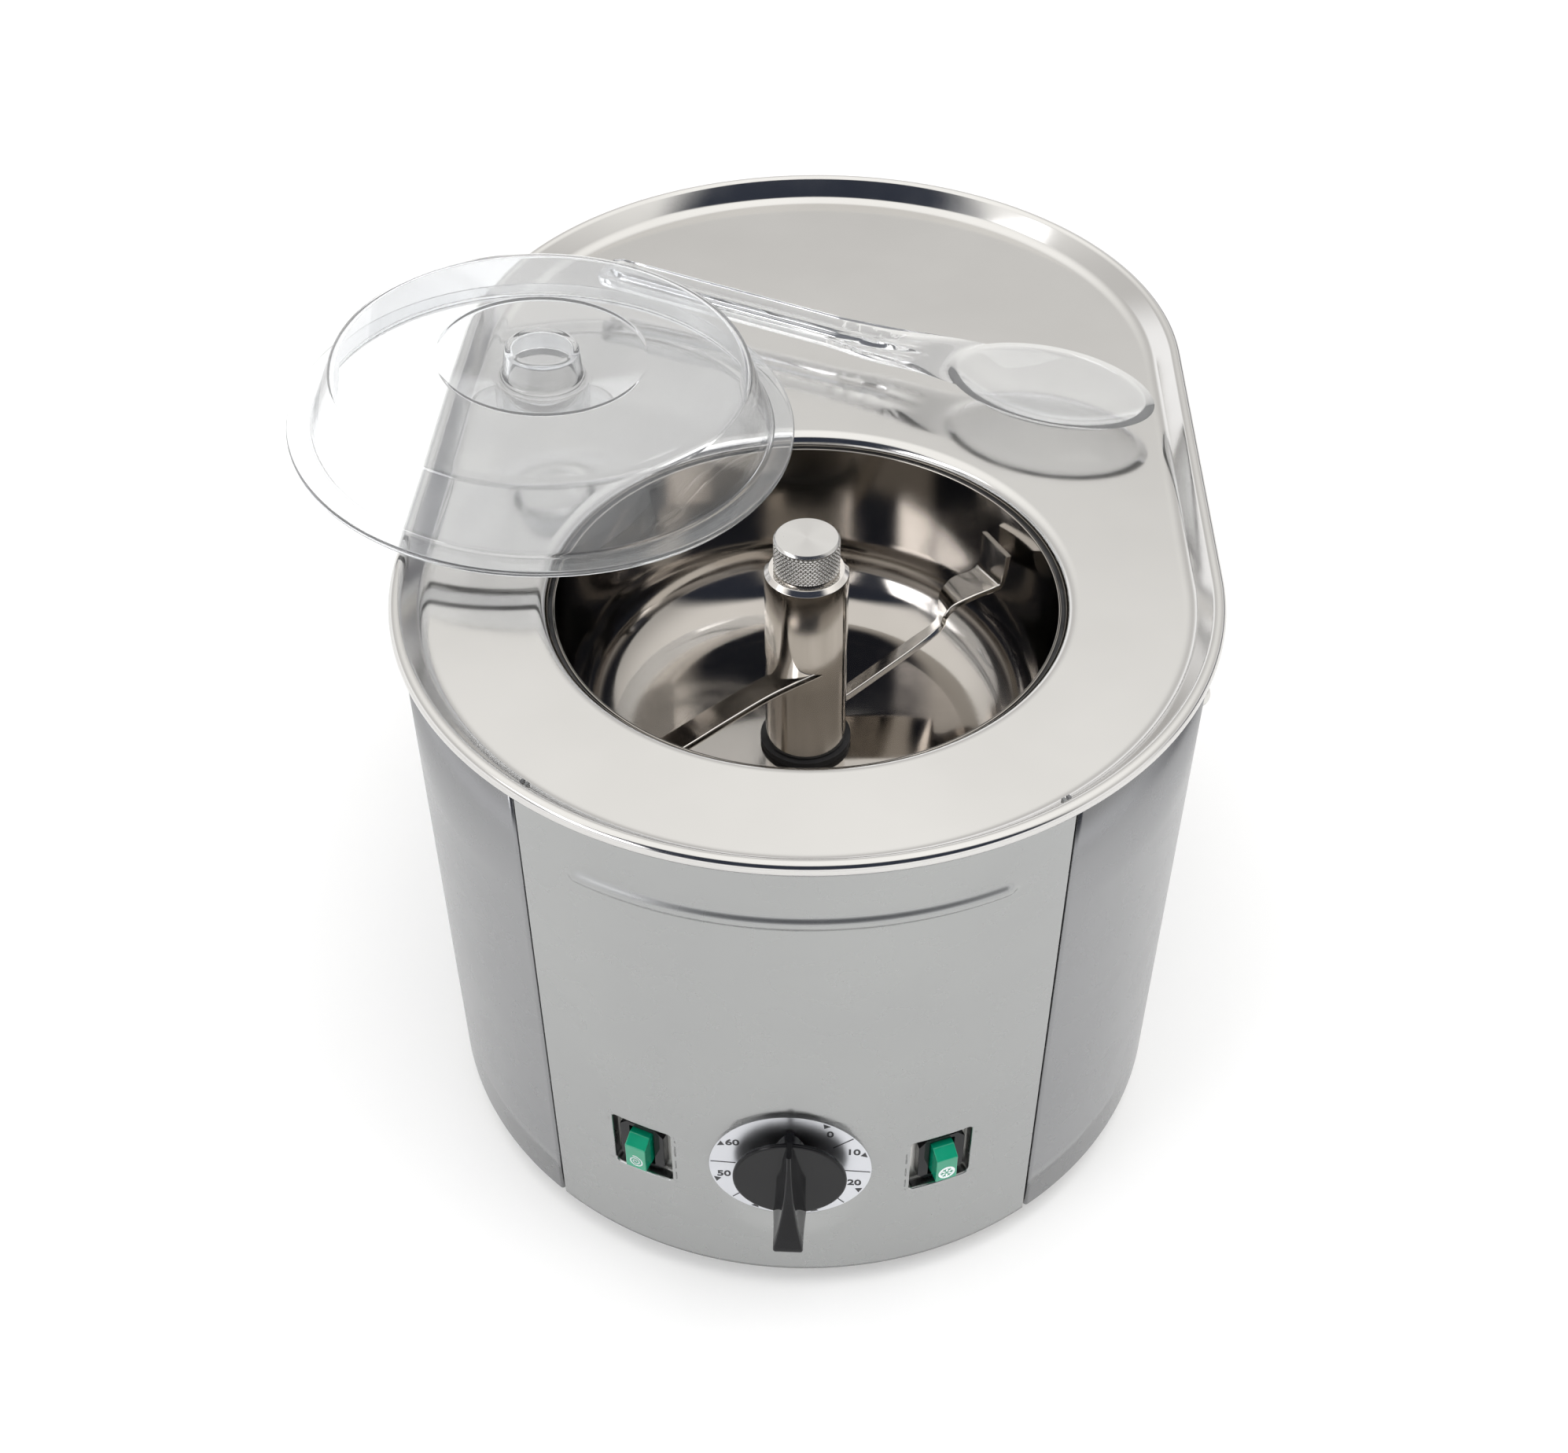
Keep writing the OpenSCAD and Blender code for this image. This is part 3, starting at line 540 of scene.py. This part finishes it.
def front_panel():
    edge = SEAM * WALL_R
    fold = folded(edge, 1, 1.0, 7)
    inner = fold[0][0]
    half = lines([(0, 2.0), (DIAL_HALF_W, 1.2), (WINDOW_S + WINDOW_HALF_W, 2.0), (inner, 1)])
    flat = [-s for s in reversed(half[1:])] + half
    columns = [(-s, d) for s, d in reversed(fold[1:])] + [(s, 0) for s in flat] + fold[1:]
    heights = lines([
        (WALL_LOW, 1.6), (DIAL_Z - DIAL_HALF_H, 1.8), (WINDOW_Z - WINDOW_HALF_H, 1.2),
        (WINDOW_Z + WINDOW_HALF_H, 1.8), (DIAL_Z + DIAL_HALF_H, 4), (BAR_Z - 5, 0.45), (BAR_Z + 5, 3),
        (WALL_TOP, 1),
    ])
    verts = [panel_point(s, z, d) for z in heights for s, d in columns]

    def cut(i, j):
        s = (columns[j][0] + columns[j + 1][0]) / 2
        z = (heights[i] + heights[i + 1]) / 2
        in_dial = abs(s) < DIAL_HALF_W and abs(z - DIAL_Z) < DIAL_HALF_H
        in_window = abs(abs(s) - WINDOW_S) < WINDOW_HALF_W and abs(z - WINDOW_Z) < WINDOW_HALF_H
        return in_dial or in_window

    parts = [(verts, grid_faces(len(heights), len(columns), skip=cut))]
    dial_s = [s for s in flat if abs(s) <= DIAL_HALF_W + 0.01]
    dial_z = [z for z in heights if abs(z - DIAL_Z) <= DIAL_HALF_H + 0.01]
    rings = [(0, 1.6), (0, 0.5), (0.12, 0.12), (0.35, 0), (0.8, 0), (1.5, 0), (2.3, 0)]
    rings += [(2.5 + 7.5 * k / 22, 0) for k in range(1, 23)]
    parts.append(ring_patch(loop_of(dial_s, dial_z), (0, 0, 0, DIAL_Z), DIAL_R + 0.12, rings))
    reveal = [(0, 5.6), (0, 3.5), (0, 1.4)] + [
        (0.9 * (1 - math.cos(a)), 0.9 * (1 - math.sin(a))) for a in [math.pi / 2 * k / 5 for k in range(6)]
    ]
    reveal += [(1.2, 0), (1.8, 0)] + [(2.5 + 7.5 * k / 4, 0) for k in range(1, 5)]
    for side in (-1, 1):
        near = [s for s in flat if abs(s - side * WINDOW_S) <= WINDOW_HALF_W + 0.01]
        tall = [z for z in heights if abs(z - WINDOW_Z) <= WINDOW_HALF_H + 0.01]
        core = (10.1, 12.0, side * WINDOW_S, WINDOW_Z)
        parts.append(ring_patch(loop_of(near, tall), core, 2.0, reveal))
    obj = piece("front_cover", *join(*parts), "housing", "body_steel", BODY_STEEL, ["front_panel"], 50)
    solidify(obj, SHEET)


def side_cover():
    edge = (SEAM + math.radians(0.35)) * WALL_R
    total = 2 * math.pi * WALL_R + 4 * ARC_Y
    quarter = WALL_R * math.pi / 2
    first = folded(edge, -1, 1.3, 7)
    last = folded(total - edge, 1, 1.3, 7)
    vent0 = quarter + 2 * ARC_Y - 25
    vent1 = quarter + 2 * ARC_Y + WALL_R * math.asin(45 / WALL_R)
    back = total / 2
    rear = WALL_R * math.asin(38 / WALL_R)
    inlet = WALL_R * math.asin(14.1 / WALL_R)
    inlet_z = (34.9, 55.1)
    marks = [
        (first[0][0], 2.2), (vent0, 3), (vent1, 3), (back - rear, 3), (back - inlet, 3), (back + inlet, 3),
        (back + rear, 2.2), (last[0][0], 1),
    ]
    middle = [(u, 0) for u in lines(marks)]
    columns = list(reversed(first[1:])) + middle + last[1:]
    cuts = {WALL_LOW, WALL_TOP, *inlet_z}
    for z in range(40, 181, 10):
        cuts |= {z, z + 4}
    heights = sorted(cuts)
    verts = []
    for z in heights:
        for u, depth in columns:
            p, n = outline(u)
            verts.append((*(p - n * depth), z))

    def cut(i, j):
        u = (columns[j][0] + columns[j + 1][0]) / 2
        z = (heights[i] + heights[i + 1]) / 2
        slot = z % 10 < 4
        side_vent = vent0 < u < vent1 and slot and 40 < z < 144
        rear_vent = abs(u - back) < rear and slot and 90 < z < 184
        return side_vent or rear_vent or (abs(u - back) < inlet and inlet_z[0] < z < inlet_z[1])

    faces = grid_faces(len(heights), len(columns), skip=cut)
    # The side cover takes the darker copy of the panel steel: painted shade, not a different metal.
    obj = piece("side_cover", verts, faces, "housing", "body_steel", WRAP_STEEL_PAINTED_SHADE, ["side_wrap"], 50)
    solidify(obj, SHEET)


# ---------- dasher ----------


def hub():
    top = hub_hi.z
    r = hub_hi.x
    bore = 8.06
    profile = rounded(
        [
            (bore, hub_lo.z, 0), (r, hub_lo.z, 0.6), (r, top - 1.6, 0.25), (r - 1.7, top, 0.25),
            (4.2, top, 0.2), (4.2, top - 12, 0), (bore, top - 14, 0),
        ],
        closed=False,
        pad=0.15,
    )
    verts, faces = revolve(profile, 128, closed=True)
    piece("hub", verts, faces, "dasher", "dasher_steel", DASHER_STEEL, ["dasher_hub"], 40, BOWL_AXIS)


def smooth_path(points, per):
    """Catmull-Rom through tuples of any length."""
    out = []
    for i in range(len(points) - 1):
        p0 = points[max(i - 1, 0)]
        p1, p2 = points[i], points[i + 1]
        p3 = points[min(i + 2, len(points) - 1)]
        for k in range(per):
            t = k / per
            out.append(tuple(
                0.5 * (2 * b + (c - a) * t + (2 * a - 5 * b + 4 * c - d) * t * t
                       + (3 * b - a - 3 * c + d) * t ** 3)
                for a, b, c, d in zip(p0, p1, p2, p3)
            ))
    return out + [points[-1]]


def strip_mesh(path, edge_side, width, thick=2.2):
    """A rounded flat bar along (r, z, twist, lean) points. One edge runs at edge_side, width goes across."""
    verts = []
    rows = smooth_path(path, 10)
    reach = abs(width)
    flip = 1 if width > 0 else -1
    section = rounded(
        [(x, q * thick / 2, 0.45) for x, q in ((0, -1), (reach, -1), (reach, 1), (0, 1))],
        closed=True, steps=3, pad=0.15,
    )
    for r, z, twist, lean in rows:
        tilt = math.radians(lean)
        up = Vector((-math.sin(tilt), 0, math.cos(tilt)))
        side = Vector((0, 1, 0))
        t = math.radians(twist)
        wide = (side * math.cos(t) + up * math.sin(t)) * flip
        high = (up * math.cos(t) - side * math.sin(t)) * flip
        verts += [Vector((r, edge_side, z)) + wide * a + high * b for a, b in section]
    n = len(section)
    faces = grid_faces(len(rows), n, wrap_cols=True)
    faces += [tuple(range(n - 1, -1, -1)), tuple(range(len(verts) - n, len(verts)))]
    return verts, faces


def weld_bead(path, edge_side, width, size=1.3):
    """A lumpy line of weld on the hub's round face along the under side of a strip's root."""
    t = math.radians(path[0][2])
    hub_r = hub_hi.x
    verts = []
    sides, count = 10, 26
    centres = []
    for k in range(count):
        f = 0.04 + 0.92 * k / (count - 1)
        y = edge_side + f * width * math.cos(t)
        x = math.sqrt(max(hub_r * hub_r - y * y, 0.3))
        slope = (path[1][1] - path[0][1]) / (path[1][0] - path[0][0])
        z = path[0][1] + (x - path[0][0]) * slope + f * width * math.sin(t) - 0.5
        centres.append(Vector((x, y, z)))
    for i, c in enumerate(centres):
        along = (centres[min(i + 1, count - 1)] - centres[max(i - 1, 0)]).normalized()
        out = Vector((c.x, c.y, 0)).normalized()
        other = along.cross(out).normalized()
        taper = min(1, 0.25 + min(i, count - 1 - i) * 0.25)
        lump = size * taper * (1 + 0.22 * math.sin(i * 1.7) + 0.1 * math.sin(i * 3.1))
        for k in range(sides):
            a = 2 * math.pi * k / sides
            verts.append(c + (out * math.cos(a) + other * math.sin(a)) * lump)
    faces = grid_faces(count, sides, wrap_cols=True)
    faces += [tuple(range(sides - 1, -1, -1)), tuple(range(len(verts) - sides, len(verts)))]
    return verts, faces


LEFT_ARM = [
    (1.6, 200.1, 23, -8), (21.2, 197.4, 23, -12), (39, 192.4, 23, -17), (55.1, 187.2, 23, -18),
    (77, 180.5, 23, -18),
]
RIGHT_ARM = [
    (12.5, 170.1, -38, 20), (17.5, 171.6, -38, 20), (31.2, 177.3, -38, 24), (46.7, 184, -38, 30),
    (57, 189.9, -41, 35), (59.5, 194.9, -38, 33), (63.5, 198.4, -26, 26), (72.3, 199.8, -12, 10),
    (81.2, 200.4, -12, 10), (84.6, 202.2, -4, 45), (86.4, 214.6, 0, 80),
]
ARM_WIDTH = 18


def dasher_arms():
    arms = (("left_arm", LEFT_ARM, 15.3, -ARM_WIDTH, 210), ("right_arm", RIGHT_ARM, -3, ARM_WIDTH, 30))
    for name, path, side, width, turn in arms:
        part = join(strip_mesh(path, side, width), weld_bead(path, side, width))
        place = BOWL_AXIS @ Matrix.Rotation(math.radians(turn), 4, "Z")
        piece(name, *part, "dasher", "dasher_steel", DASHER_STEEL, ["dasher_" + name], 50, place)


def knurled_knob():
    r = knob_hi.x
    low, top = knob_lo.z, knob_hi.z
    starts, depth, land = 44, 0.42, 0.06
    around = starts * 8
    rows = 72
    z0, z1 = low + 0.9, top - 1.7
    verts = []
    for i in range(around):
        a = 2 * math.pi * i / around
        ring = [(0, low), (r - 1.6, low), (r - 0.9, low + 0.25), (r - 0.5, z0 - 0.1)]
        for k in range(rows + 1):
            z = z0 + (z1 - z0) * k / rows
            phase = (z - z0) / (2 * math.pi * r / starts)
            one = abs((a * starts / (2 * math.pi) + phase) % 1 - 0.5) * 2
            two = abs((a * starts / (2 * math.pi) - phase) % 1 - 0.5) * 2
            ring.append((r - land - depth * max(1 - min(one, two) * 2.2, 0), z))
        ring += [(r - 0.45, z1 + 0.12), (r - 0.12, z1 + 0.35), (r - 0.1, top - 0.95), (r - 0.3, top - 0.6)]
        ring += [(r - 0.9, top), (r - 1.3, top), (r * 0.55, top), (r * 0.2, top), (0, top)]
        verts += [(q * math.cos(a), q * math.sin(a), z) for q, z in ring]
    cols = len(ring)
    faces = grid_faces(around, cols, wrap_rows=True)
    obj = piece(
        "knurled_knob", verts, faces, "knob", "knob_steel", KNOB_STEEL, ["dasher_knob"], 32, BOWL_AXIS,
    )
    obj.data.materials.append(TURNED_STEEL)
    for p in obj.data.polygons:
        if p.normal.z > 0.9 and p.center.z > (top - 0.5) * MM:
            p.material_index = 1


def turned_steel():
    m = Mat("turned_steel", Metallic=1.0, Anisotropic=0.85)
    m.colours((0.58, 0.57, 0.555), (0.63, 0.62, 0.605), 14)
    m.roughness(0.26, 0.34, 80)
    tangent = m.node("ShaderNodeTangent", direction_type="RADIAL", axis="Z")
    m.link(tangent.outputs["Tangent"], m.bsdf.inputs["Tangent"])
    return m.mat


TURNED_STEEL = turned_steel()


# ---------- timer ----------


def timer_knob():
    r = 20.8
    hub_r, back, front = 9, 3.5, 5.2
    disc = rounded(
        [(0, 0, 0), (hub_r, 0, 0.3), (hub_r, back, 0.3), (r, back, 0.4), (r, front, 0.9), (0, front, 0)],
        pad=0.2,
    )
    base = revolve(disc, 128)
    rows = 26
    verts = []
    y0, y1 = 22.4, -20.5
    blade_top, blade_slope = 21.45, math.tan(math.radians(12.9))
    for i in range(rows + 1):
        t = i / rows
        y = y0 + (y1 - y0) * t
        top = blade_top - blade_slope * (y - y1)
        narrow = 0.9 + 4.6 * t ** 2.2
        wide = (1.4 + 4.6 * min(1, max(0, (20.5 - y) / 8)) ** 0.7) + 0.7 * t
        section = []
        for k in range(10):
            f = k / 9
            section.append((narrow + (wide - narrow) * (1 - f) ** 2.4, (top - 0.7) * f))
        section += [(narrow - 0.2, top - 0.25), (narrow - 0.7 if narrow > 1 else narrow * 0.5, top)]
        left = [(-x, z) for x, z in reversed(section)]
        verts += [(x, y, z) for x, z in section + left]
        section_len = 2 * len(section)
    end = []
    for k in range(1, 5):
        f = k / 4
        for x, y, z in verts[rows * section_len:(rows + 1) * section_len]:
            shrink = 1 - 0.16 * (1 - math.cos(f * math.pi / 2))
            end.append((x * shrink, y - 1.4 * math.sin(f * math.pi / 2), z * (1 - 0.03 * f * f)))
    verts += end
    total = rows + 5
    faces = grid_faces(total, section_len, wrap_cols=True)
    faces += [tuple(range(section_len - 1, -1, -1))]
    faces += [tuple(range((total - 1) * section_len, total * section_len))]
    place = at(0, DIAL_Y - 0.8, DIAL_Z) @ FACING_FRONT
    part = join(base, (verts, faces))
    piece("timer_grip", *part, "timer", "black_plastic", GLOSS_BLACK, ["timer_knob"], 40, place)


def dial_scale():
    """Numbers, triangles and tick lines, a hair proud of the plate."""
    place = at(0, DIAL_Y - 0.02, DIAL_Z) @ FACING_FRONT
    parts = []

    def spot(angle, r):
        a = math.radians(angle)
        return Vector((math.sin(a) * r, math.cos(a) * r, 0))

    for k in range(7):
        a = 27 + 45 * k
        c = spot(a, 28.1)
        turn = Matrix.Rotation(-math.radians(a), 4, "Z")
        corners = [c + turn @ Vector(v) for v in ((-1.5, 0.9, 0), (1.5, 0.9, 0), (0, -1.3, 0))]
        parts.append(extrude([(v.x, v.y) for v in corners], 0, 0.06))
    for a in (51, 93, 137, 182, 227, 274):
        c0, c1 = spot(a, 20), spot(a, 29.2)
        side = (c1 - c0).normalized().cross(Vector((0, 0, 1))) * 0.2
        corners = ((c0, side), (c1, side), (c1, -side), (c0, -side))
        parts.append(extrude([tuple((c + s)[:2]) for c, s in corners], 0, 0.06))
    piece("dial_marks", *join(*parts), "housing", "black_plastic", INK, (), 30, place)
    for text, a in (("0", 35), ("10", 66), ("20", 110), ("30", 155), ("40", 205), ("50", 257), ("60", 303)):
        curve = bpy.data.curves.new("dial_number_" + text, "FONT")
        curve.body = text
        curve.size = 4.6 * MM
        curve.extrude = 0.03 * MM
        curve.align_x = "CENTER"
        curve.align_y = "CENTER"
        curve.offset = 0.12 * MM
        obj = bpy.data.objects.new("dial_number_" + text, curve)
        bpy.context.scene.collection.objects.link(obj)
        c = spot(a, 25.0)
        target = place @ at(c.x, c.y, 0.03) @ Matrix.Diagonal((1.12, 1, 1, 1))
        target.translation *= MM
        obj.matrix_world = target
        curve.materials.append(INK)
        bpy.context.view_layer.update()
        mesh = bpy.data.meshes.new_from_object(obj.evaluated_get(bpy.context.evaluated_depsgraph_get()))
        mesh.transform(obj.matrix_world)
        bpy.data.objects.remove(obj)
        made = bpy.data.objects.new("dial_number_" + text, mesh)
        bpy.context.scene.collection.objects.link(made)
        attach(made, "housing")


# ---------- switches ----------


def cut_corner(w, h, c):
    x, y = w / 2, h / 2
    right = [(c - x, -y), (x - c, -y), (x, c - y), (x, y - c)]
    return right + [(x - c, y), (c - x, y), (-x, y - c), (-x, c - y)]


def ringed(outer, inner, z0, z1):
    """A frame between two loops of the same count."""
    n = len(outer)
    verts = [(*p, z) for z in (z0, z1) for p in outer] + [(*p, z) for z in (z0, z1) for p in inner]
    faces = []
    for i in range(n):
        j = (i + 1) % n
        faces.append((i, j, n + j, n + i))
        faces.append((2 * n + j, 2 * n + i, 3 * n + i, 3 * n + j))
        faces.append((n + i, n + j, 3 * n + j, 3 * n + i))
        faces.append((j, i, 2 * n + i, 2 * n + j))
    return verts, faces


def switch(side, name):
    outward = side * 1.2
    place = on_front(side * SWITCH_ANGLE, WALL_R, WINDOW_Z) @ at(outward, -1.4)
    front, ledge, rear = -2.5, -5.5, -26
    inner = cut_corner(9.8, 19.2, 0.3)
    frame_part = ringed(cut_corner(18, 23, 3), inner, ledge, front)
    body_part = ringed(cut_corner(14.8, 19.8, 0.4), inner, rear, ledge)
    floor_part = extrude(inner, -15, -14)
    obj = piece(
        name + "_bezel", *join(frame_part, body_part, floor_part), "housing", "black_plastic", GLOSS_BLACK,
        [name + "_housing"], 30, place,
    )
    bevel(obj, 0.5)
    place = on_front(side * SWITCH_ANGLE, WALL_R, BUTTON_Z) @ at(outward, 0)
    half, top = 4.15, 3.2
    side_view = [(-7, -10), (8, -10), (8.6, -1.2), (5.6, top), (-6.8, top)]
    verts = [(x, y, z) for x in (-half, half) for y, z in side_view]
    n = len(side_view)
    faces = [tuple(range(n)), tuple(range(2 * n - 1, n - 1, -1))]
    faces += [(i, n + i, n + (i + 1) % n, (i + 1) % n) for i in range(n)]
    node = name.replace("switch", "button")
    button = piece(node + "_cap", verts, faces, name, "green_lens", GREEN_LENS, [node], 30, place)
    bevel(button, 0.35)
    icon(side, name, place @ at(0, -2.4, top))


def stroke(points, width, z0=0.0, z1=0.05):
    """A thin raised line through 2-D points."""
    parts = []
    for p, q in zip(points, points[1:]):
        d = (Vector(q) - Vector(p)).normalized()
        n = Vector((-d.y, d.x)) * width / 2
        e = d * width / 4
        a, b = Vector(p) - e, Vector(q) + e
        parts.append(extrude([tuple(a + n), tuple(a - n), tuple(b - n), tuple(b + n)], z0, z1))
    return join(*parts)


def icon(side, body, place):
    if side > 0:
        disc = extrude([(3.3 * math.cos(a), 3.3 * math.sin(a)) for a in
                        [2 * math.pi * k / 40 for k in range(40)]], 0, 0.05)
        piece("snow_disc", *disc, body, "white_plastic", WHITE_INK, (), 30, place)
        arms = []
        for k in range(6):
            turn = Matrix.Rotation(math.pi * k / 3, 2)
            for line in ([(0.2, 0), (2.5, 0)], [(1.4, 0), (2.1, 0.7)], [(1.4, 0), (2.1, -0.7)]):
                arms.append(stroke([tuple(turn @ Vector(p)) for p in line], 0.34, 0.05, 0.09))
        piece("snow_flake", *join(*arms), body, "green_lens", GREEN_LENS, (), 30, place)
        return
    turns = 2.3
    steps = 70
    points = []
    for k in range(steps + 1):
        a = 2 * math.pi * turns * k / steps
        r = 0.35 + 2.7 * k / steps
        points.append((r * math.cos(a), r * math.sin(a)))
    piece("mixing_spiral", *stroke(points, 0.5), body, "white_plastic", WHITE_INK, (), 30, place)


# ---------- lid and spoon ----------


def lid():
    profile = rounded(
        [
            (0, 34.2, 0), (14.2, 34.2, 1.6), (15.9, 21.9, 1.4), (19.2, 22.5, 1.0), (41, 31, 2.5),
            (80.9, 28.6, 4.5), (90.7, 2.6, 2.0), (99.7, 2.6, 1.1), (99.7, 0, 0.9), (88.9, 0, 1.0),
            (79.2, 26.4, 3.0), (41, 28.8, 2.5), (19.4, 20.2, 1.0), (13.7, 19.4, 1.4), (12.2, 32.0, 1.2),
            (0, 32.0, 0),
        ],
        steps=6,
        pad=0.3,
    )
    lean = Matrix.Rotation(LID_TILT[1], 4, "Y") @ Matrix.Rotation(LID_TILT[0], 4, "X")
    place = Matrix.Translation(LID_PLACE) @ lean
    verts, faces = revolve(profile, 256)
    piece("clear_lid", verts, faces, "lid", "clear_plastic", CLEAR, ["lid"], 60, place)


def ease(a, b, x):
    t = max(0.0, min(1.0, (x - a) / (b - a)))
    return t * t * (3 - 2 * t)


def spoon():
    end, neck, tip = -203, -34, 43.0
    bowl_lift, spindle = 26.7, 44.3
    outer, inner = 83.0, 80.9

    def cap(x, radius):
        return max(math.sqrt(max(radius * radius - x * x, 0)) - spindle, 0)

    def half_width(x):
        if x >= neck:
            return math.sqrt(max(cap(x, outer) ** 2 - bowl_lift ** 2, 0))
        knots = [(-203, 7.2), (-200, 9.2), (-96, 9.0), (-72, 11.6), (-50, 15.0), (neck, 16.9)]
        for (x0, w0), (x1, w1) in zip(knots, knots[1:]):
            if x <= x1:
                t = (x - x0) / (x1 - x0)
                return w0 + (w1 - w0) * t

    def bowl_z(x, y, radius):
        c = cap(x, radius)
        return min(0, bowl_lift - math.sqrt(max(c * c - y * y, 0)))

    stations = [end + (neck - end) * k / 110 for k in range(110)]
    sweep = math.acos(neck / tip)
    stations += [tip * math.cos(sweep * (1 - k / 64)) for k in range(65)]
    across = 48
    verts = []
    for x in stations:
        w = max(half_width(x), 0.02)
        b = ease(-78, -36, x)
        fade = ease(-201, -194, x) * (1 - ease(-80, -52, x))
        top, bottom = [], []
        for k in range(across + 1):
            v = -math.cos(math.pi * k / across)
            y = w * v
            channel = 3.4 * fade * ease(2.7, 1.9, abs(abs(y) - 4.1))
            t_handle = -channel - 0.35 * abs(v) ** 8
            b_handle = -0.35 - 5.65 * (1 - abs(v) ** 7) ** 0.5
            zt = t_handle * (1 - b) + bowl_z(x, y, inner) * b
            zb = b_handle * (1 - b) + bowl_z(x, y, outer) * b
            top.append((x, y, zt))
            bottom.append((x, y, min(zb, zt)))
        verts += top + bottom[-2:0:-1]
    cols = 2 * across
    faces = grid_faces(len(stations), cols, wrap_cols=True)
    faces += [tuple(range(cols - 1, -1, -1))]
    turn = Matrix.Rotation(SPOON_TILT[2], 4, "Z") @ Matrix.Rotation(SPOON_TILT[1], 4, "Y")
    piece("clear_spoon", verts, faces, "spoon", "clear_plastic", CLEAR, ["spoon"], 50,
          Matrix.Translation(SPOON_PLACE) @ turn)


top_tray()
freezing_bowl()
front_panel()
side_cover()
hub()
dasher_arms()
knurled_knob()
timer_knob()
dial_scale()
switch(-1, "left_switch")
switch(1, "right_switch")
lid()
spoon()


# ---------- floor, light and camera ----------


def floor():
    mesh = bpy.data.meshes.new("floor")
    size = 6.0
    corners = [(-size, -size, 0), (size, -size, 0), (size, size, 0), (-size, size, 0)]
    mesh.from_pydata(corners, [], [(0, 1, 2, 3)])
    m = Mat("floor_paper", Roughness=0.7)
    m.colours((0.84, 0.84, 0.84), (0.86, 0.86, 0.86), 3)
    m.bsdf.inputs["Emission Color"].default_value = (1, 1, 1, 1)
    m.bsdf.inputs["Emission Strength"].default_value = 0.2
    mesh.materials.append(m.mat)
    obj = bpy.data.objects.new("floor", mesh)
    bpy.context.scene.collection.objects.link(obj)


def world():
    w = bpy.data.worlds.new("studio")
    bpy.context.scene.world = w
    w.use_nodes = True
    tree = w.node_tree
    coord = tree.nodes.new("ShaderNodeTexCoord")
    axes = tree.nodes.new("ShaderNodeSeparateXYZ")
    tree.links.new(coord.outputs["Generated"], axes.inputs["Vector"])

    def band(axis, a, b):
        n = tree.nodes.new("ShaderNodeMapRange")
        n.interpolation_type = "SMOOTHSTEP"
        n.inputs["From Min"].default_value = a
        n.inputs["From Max"].default_value = b
        tree.links.new(axes.outputs[axis], n.inputs["Value"])
        return n.outputs["Result"]

    def times(a, b):
        n = tree.nodes.new("ShaderNodeMath")
        n.operation = "MULTIPLY"
        tree.links.new(a, n.inputs[0])
        tree.links.new(b, n.inputs[1])
        return n.outputs["Value"]

    def blend(mask, base, colour):
        n = tree.nodes.new("ShaderNodeMix")
        n.data_type = "RGBA"
        tree.links.new(mask, n.inputs["Factor"])
        if isinstance(base, tuple):
            n.inputs[6].default_value = (*base, 1)
        else:
            tree.links.new(base, n.inputs[6])
        n.inputs[7].default_value = (*colour, 1)
        return n.outputs[2]

    sky = blend(band("Z", 0.40, 0.88), (0.82, 0.81, 0.795), (1.42, 1.41, 1.38))
    low = blend(band("Z", 0.34, 0.16), sky, (1.35, 1.35, 1.36))
    corner = times(times(band("Y", -0.1, 0.3), band("X", 0.1, 0.5)), band("Z", 0.26, 0.10))
    rear = blend(corner, low, (0.22, 0.22, 0.24))
    behind_camera = times(times(band("Y", -0.24, -0.44), band("Z", 0.2, 0.35)), band("Z", 0.95, 0.86))
    dark = blend(behind_camera, rear, (0.04, 0.048, 0.07))
    across = times(band("X", -0.52, -0.58), band("X", -0.84, -0.78))
    window = times(across, times(band("Z", 0.34, 0.38), band("Z", 0.66, 0.62)))
    lit = blend(times(window, band("Y", 0.0, -0.1)), dark, (5.0, 5.0, 5.1))
    tree.links.new(lit, tree.nodes["Background"].inputs["Color"])


def area(name, place, aim, size, power):
    data = bpy.data.lights.new(name, "AREA")
    data.shape = "RECTANGLE"
    data.size, data.size_y = size
    data.energy = power
    obj = bpy.data.objects.new(name, data)
    bpy.context.scene.collection.objects.link(obj)
    obj.location = place
    obj.rotation_mode = "QUATERNION"
    obj.rotation_quaternion = (Vector(aim) - Vector(place)).to_track_quat("-Z", "Y")
    obj.visible_glossy = False


def camera():
    """Stands where the maker is seen from above its front, a little to the left of its middle."""
    data = bpy.data.cameras.new("camera")
    obj = bpy.data.objects.new("camera", data)
    bpy.context.scene.collection.objects.link(obj)
    bpy.context.scene.camera = obj
    data.sensor_width = 36
    data.sensor_fit = "HORIZONTAL"
    data.lens = 45.43
    yaw, pitch, roll = math.radians(-2.66), math.radians(42.671), math.radians(-0.195)
    forward = Vector((math.sin(yaw) * math.cos(pitch), math.cos(yaw) * math.cos(pitch), -math.sin(pitch)))
    right = Vector((math.cos(yaw), -math.sin(yaw), 0))
    up = right.cross(forward)
    right, up = right * math.cos(roll) + up * math.sin(roll), up * math.cos(roll) - right * math.sin(roll)
    obj.matrix_world = Matrix((right, up, -forward)).transposed().to_4x4()
    obj.location = (0.017845, -0.639707, 0.681309)


floor()
world()
area("key", (0.45, -0.55, 1.7), (0, 0, 0.2), (1.5, 1.2), 10)
camera()
bpy.context.scene.view_settings.view_transform = "Standard"
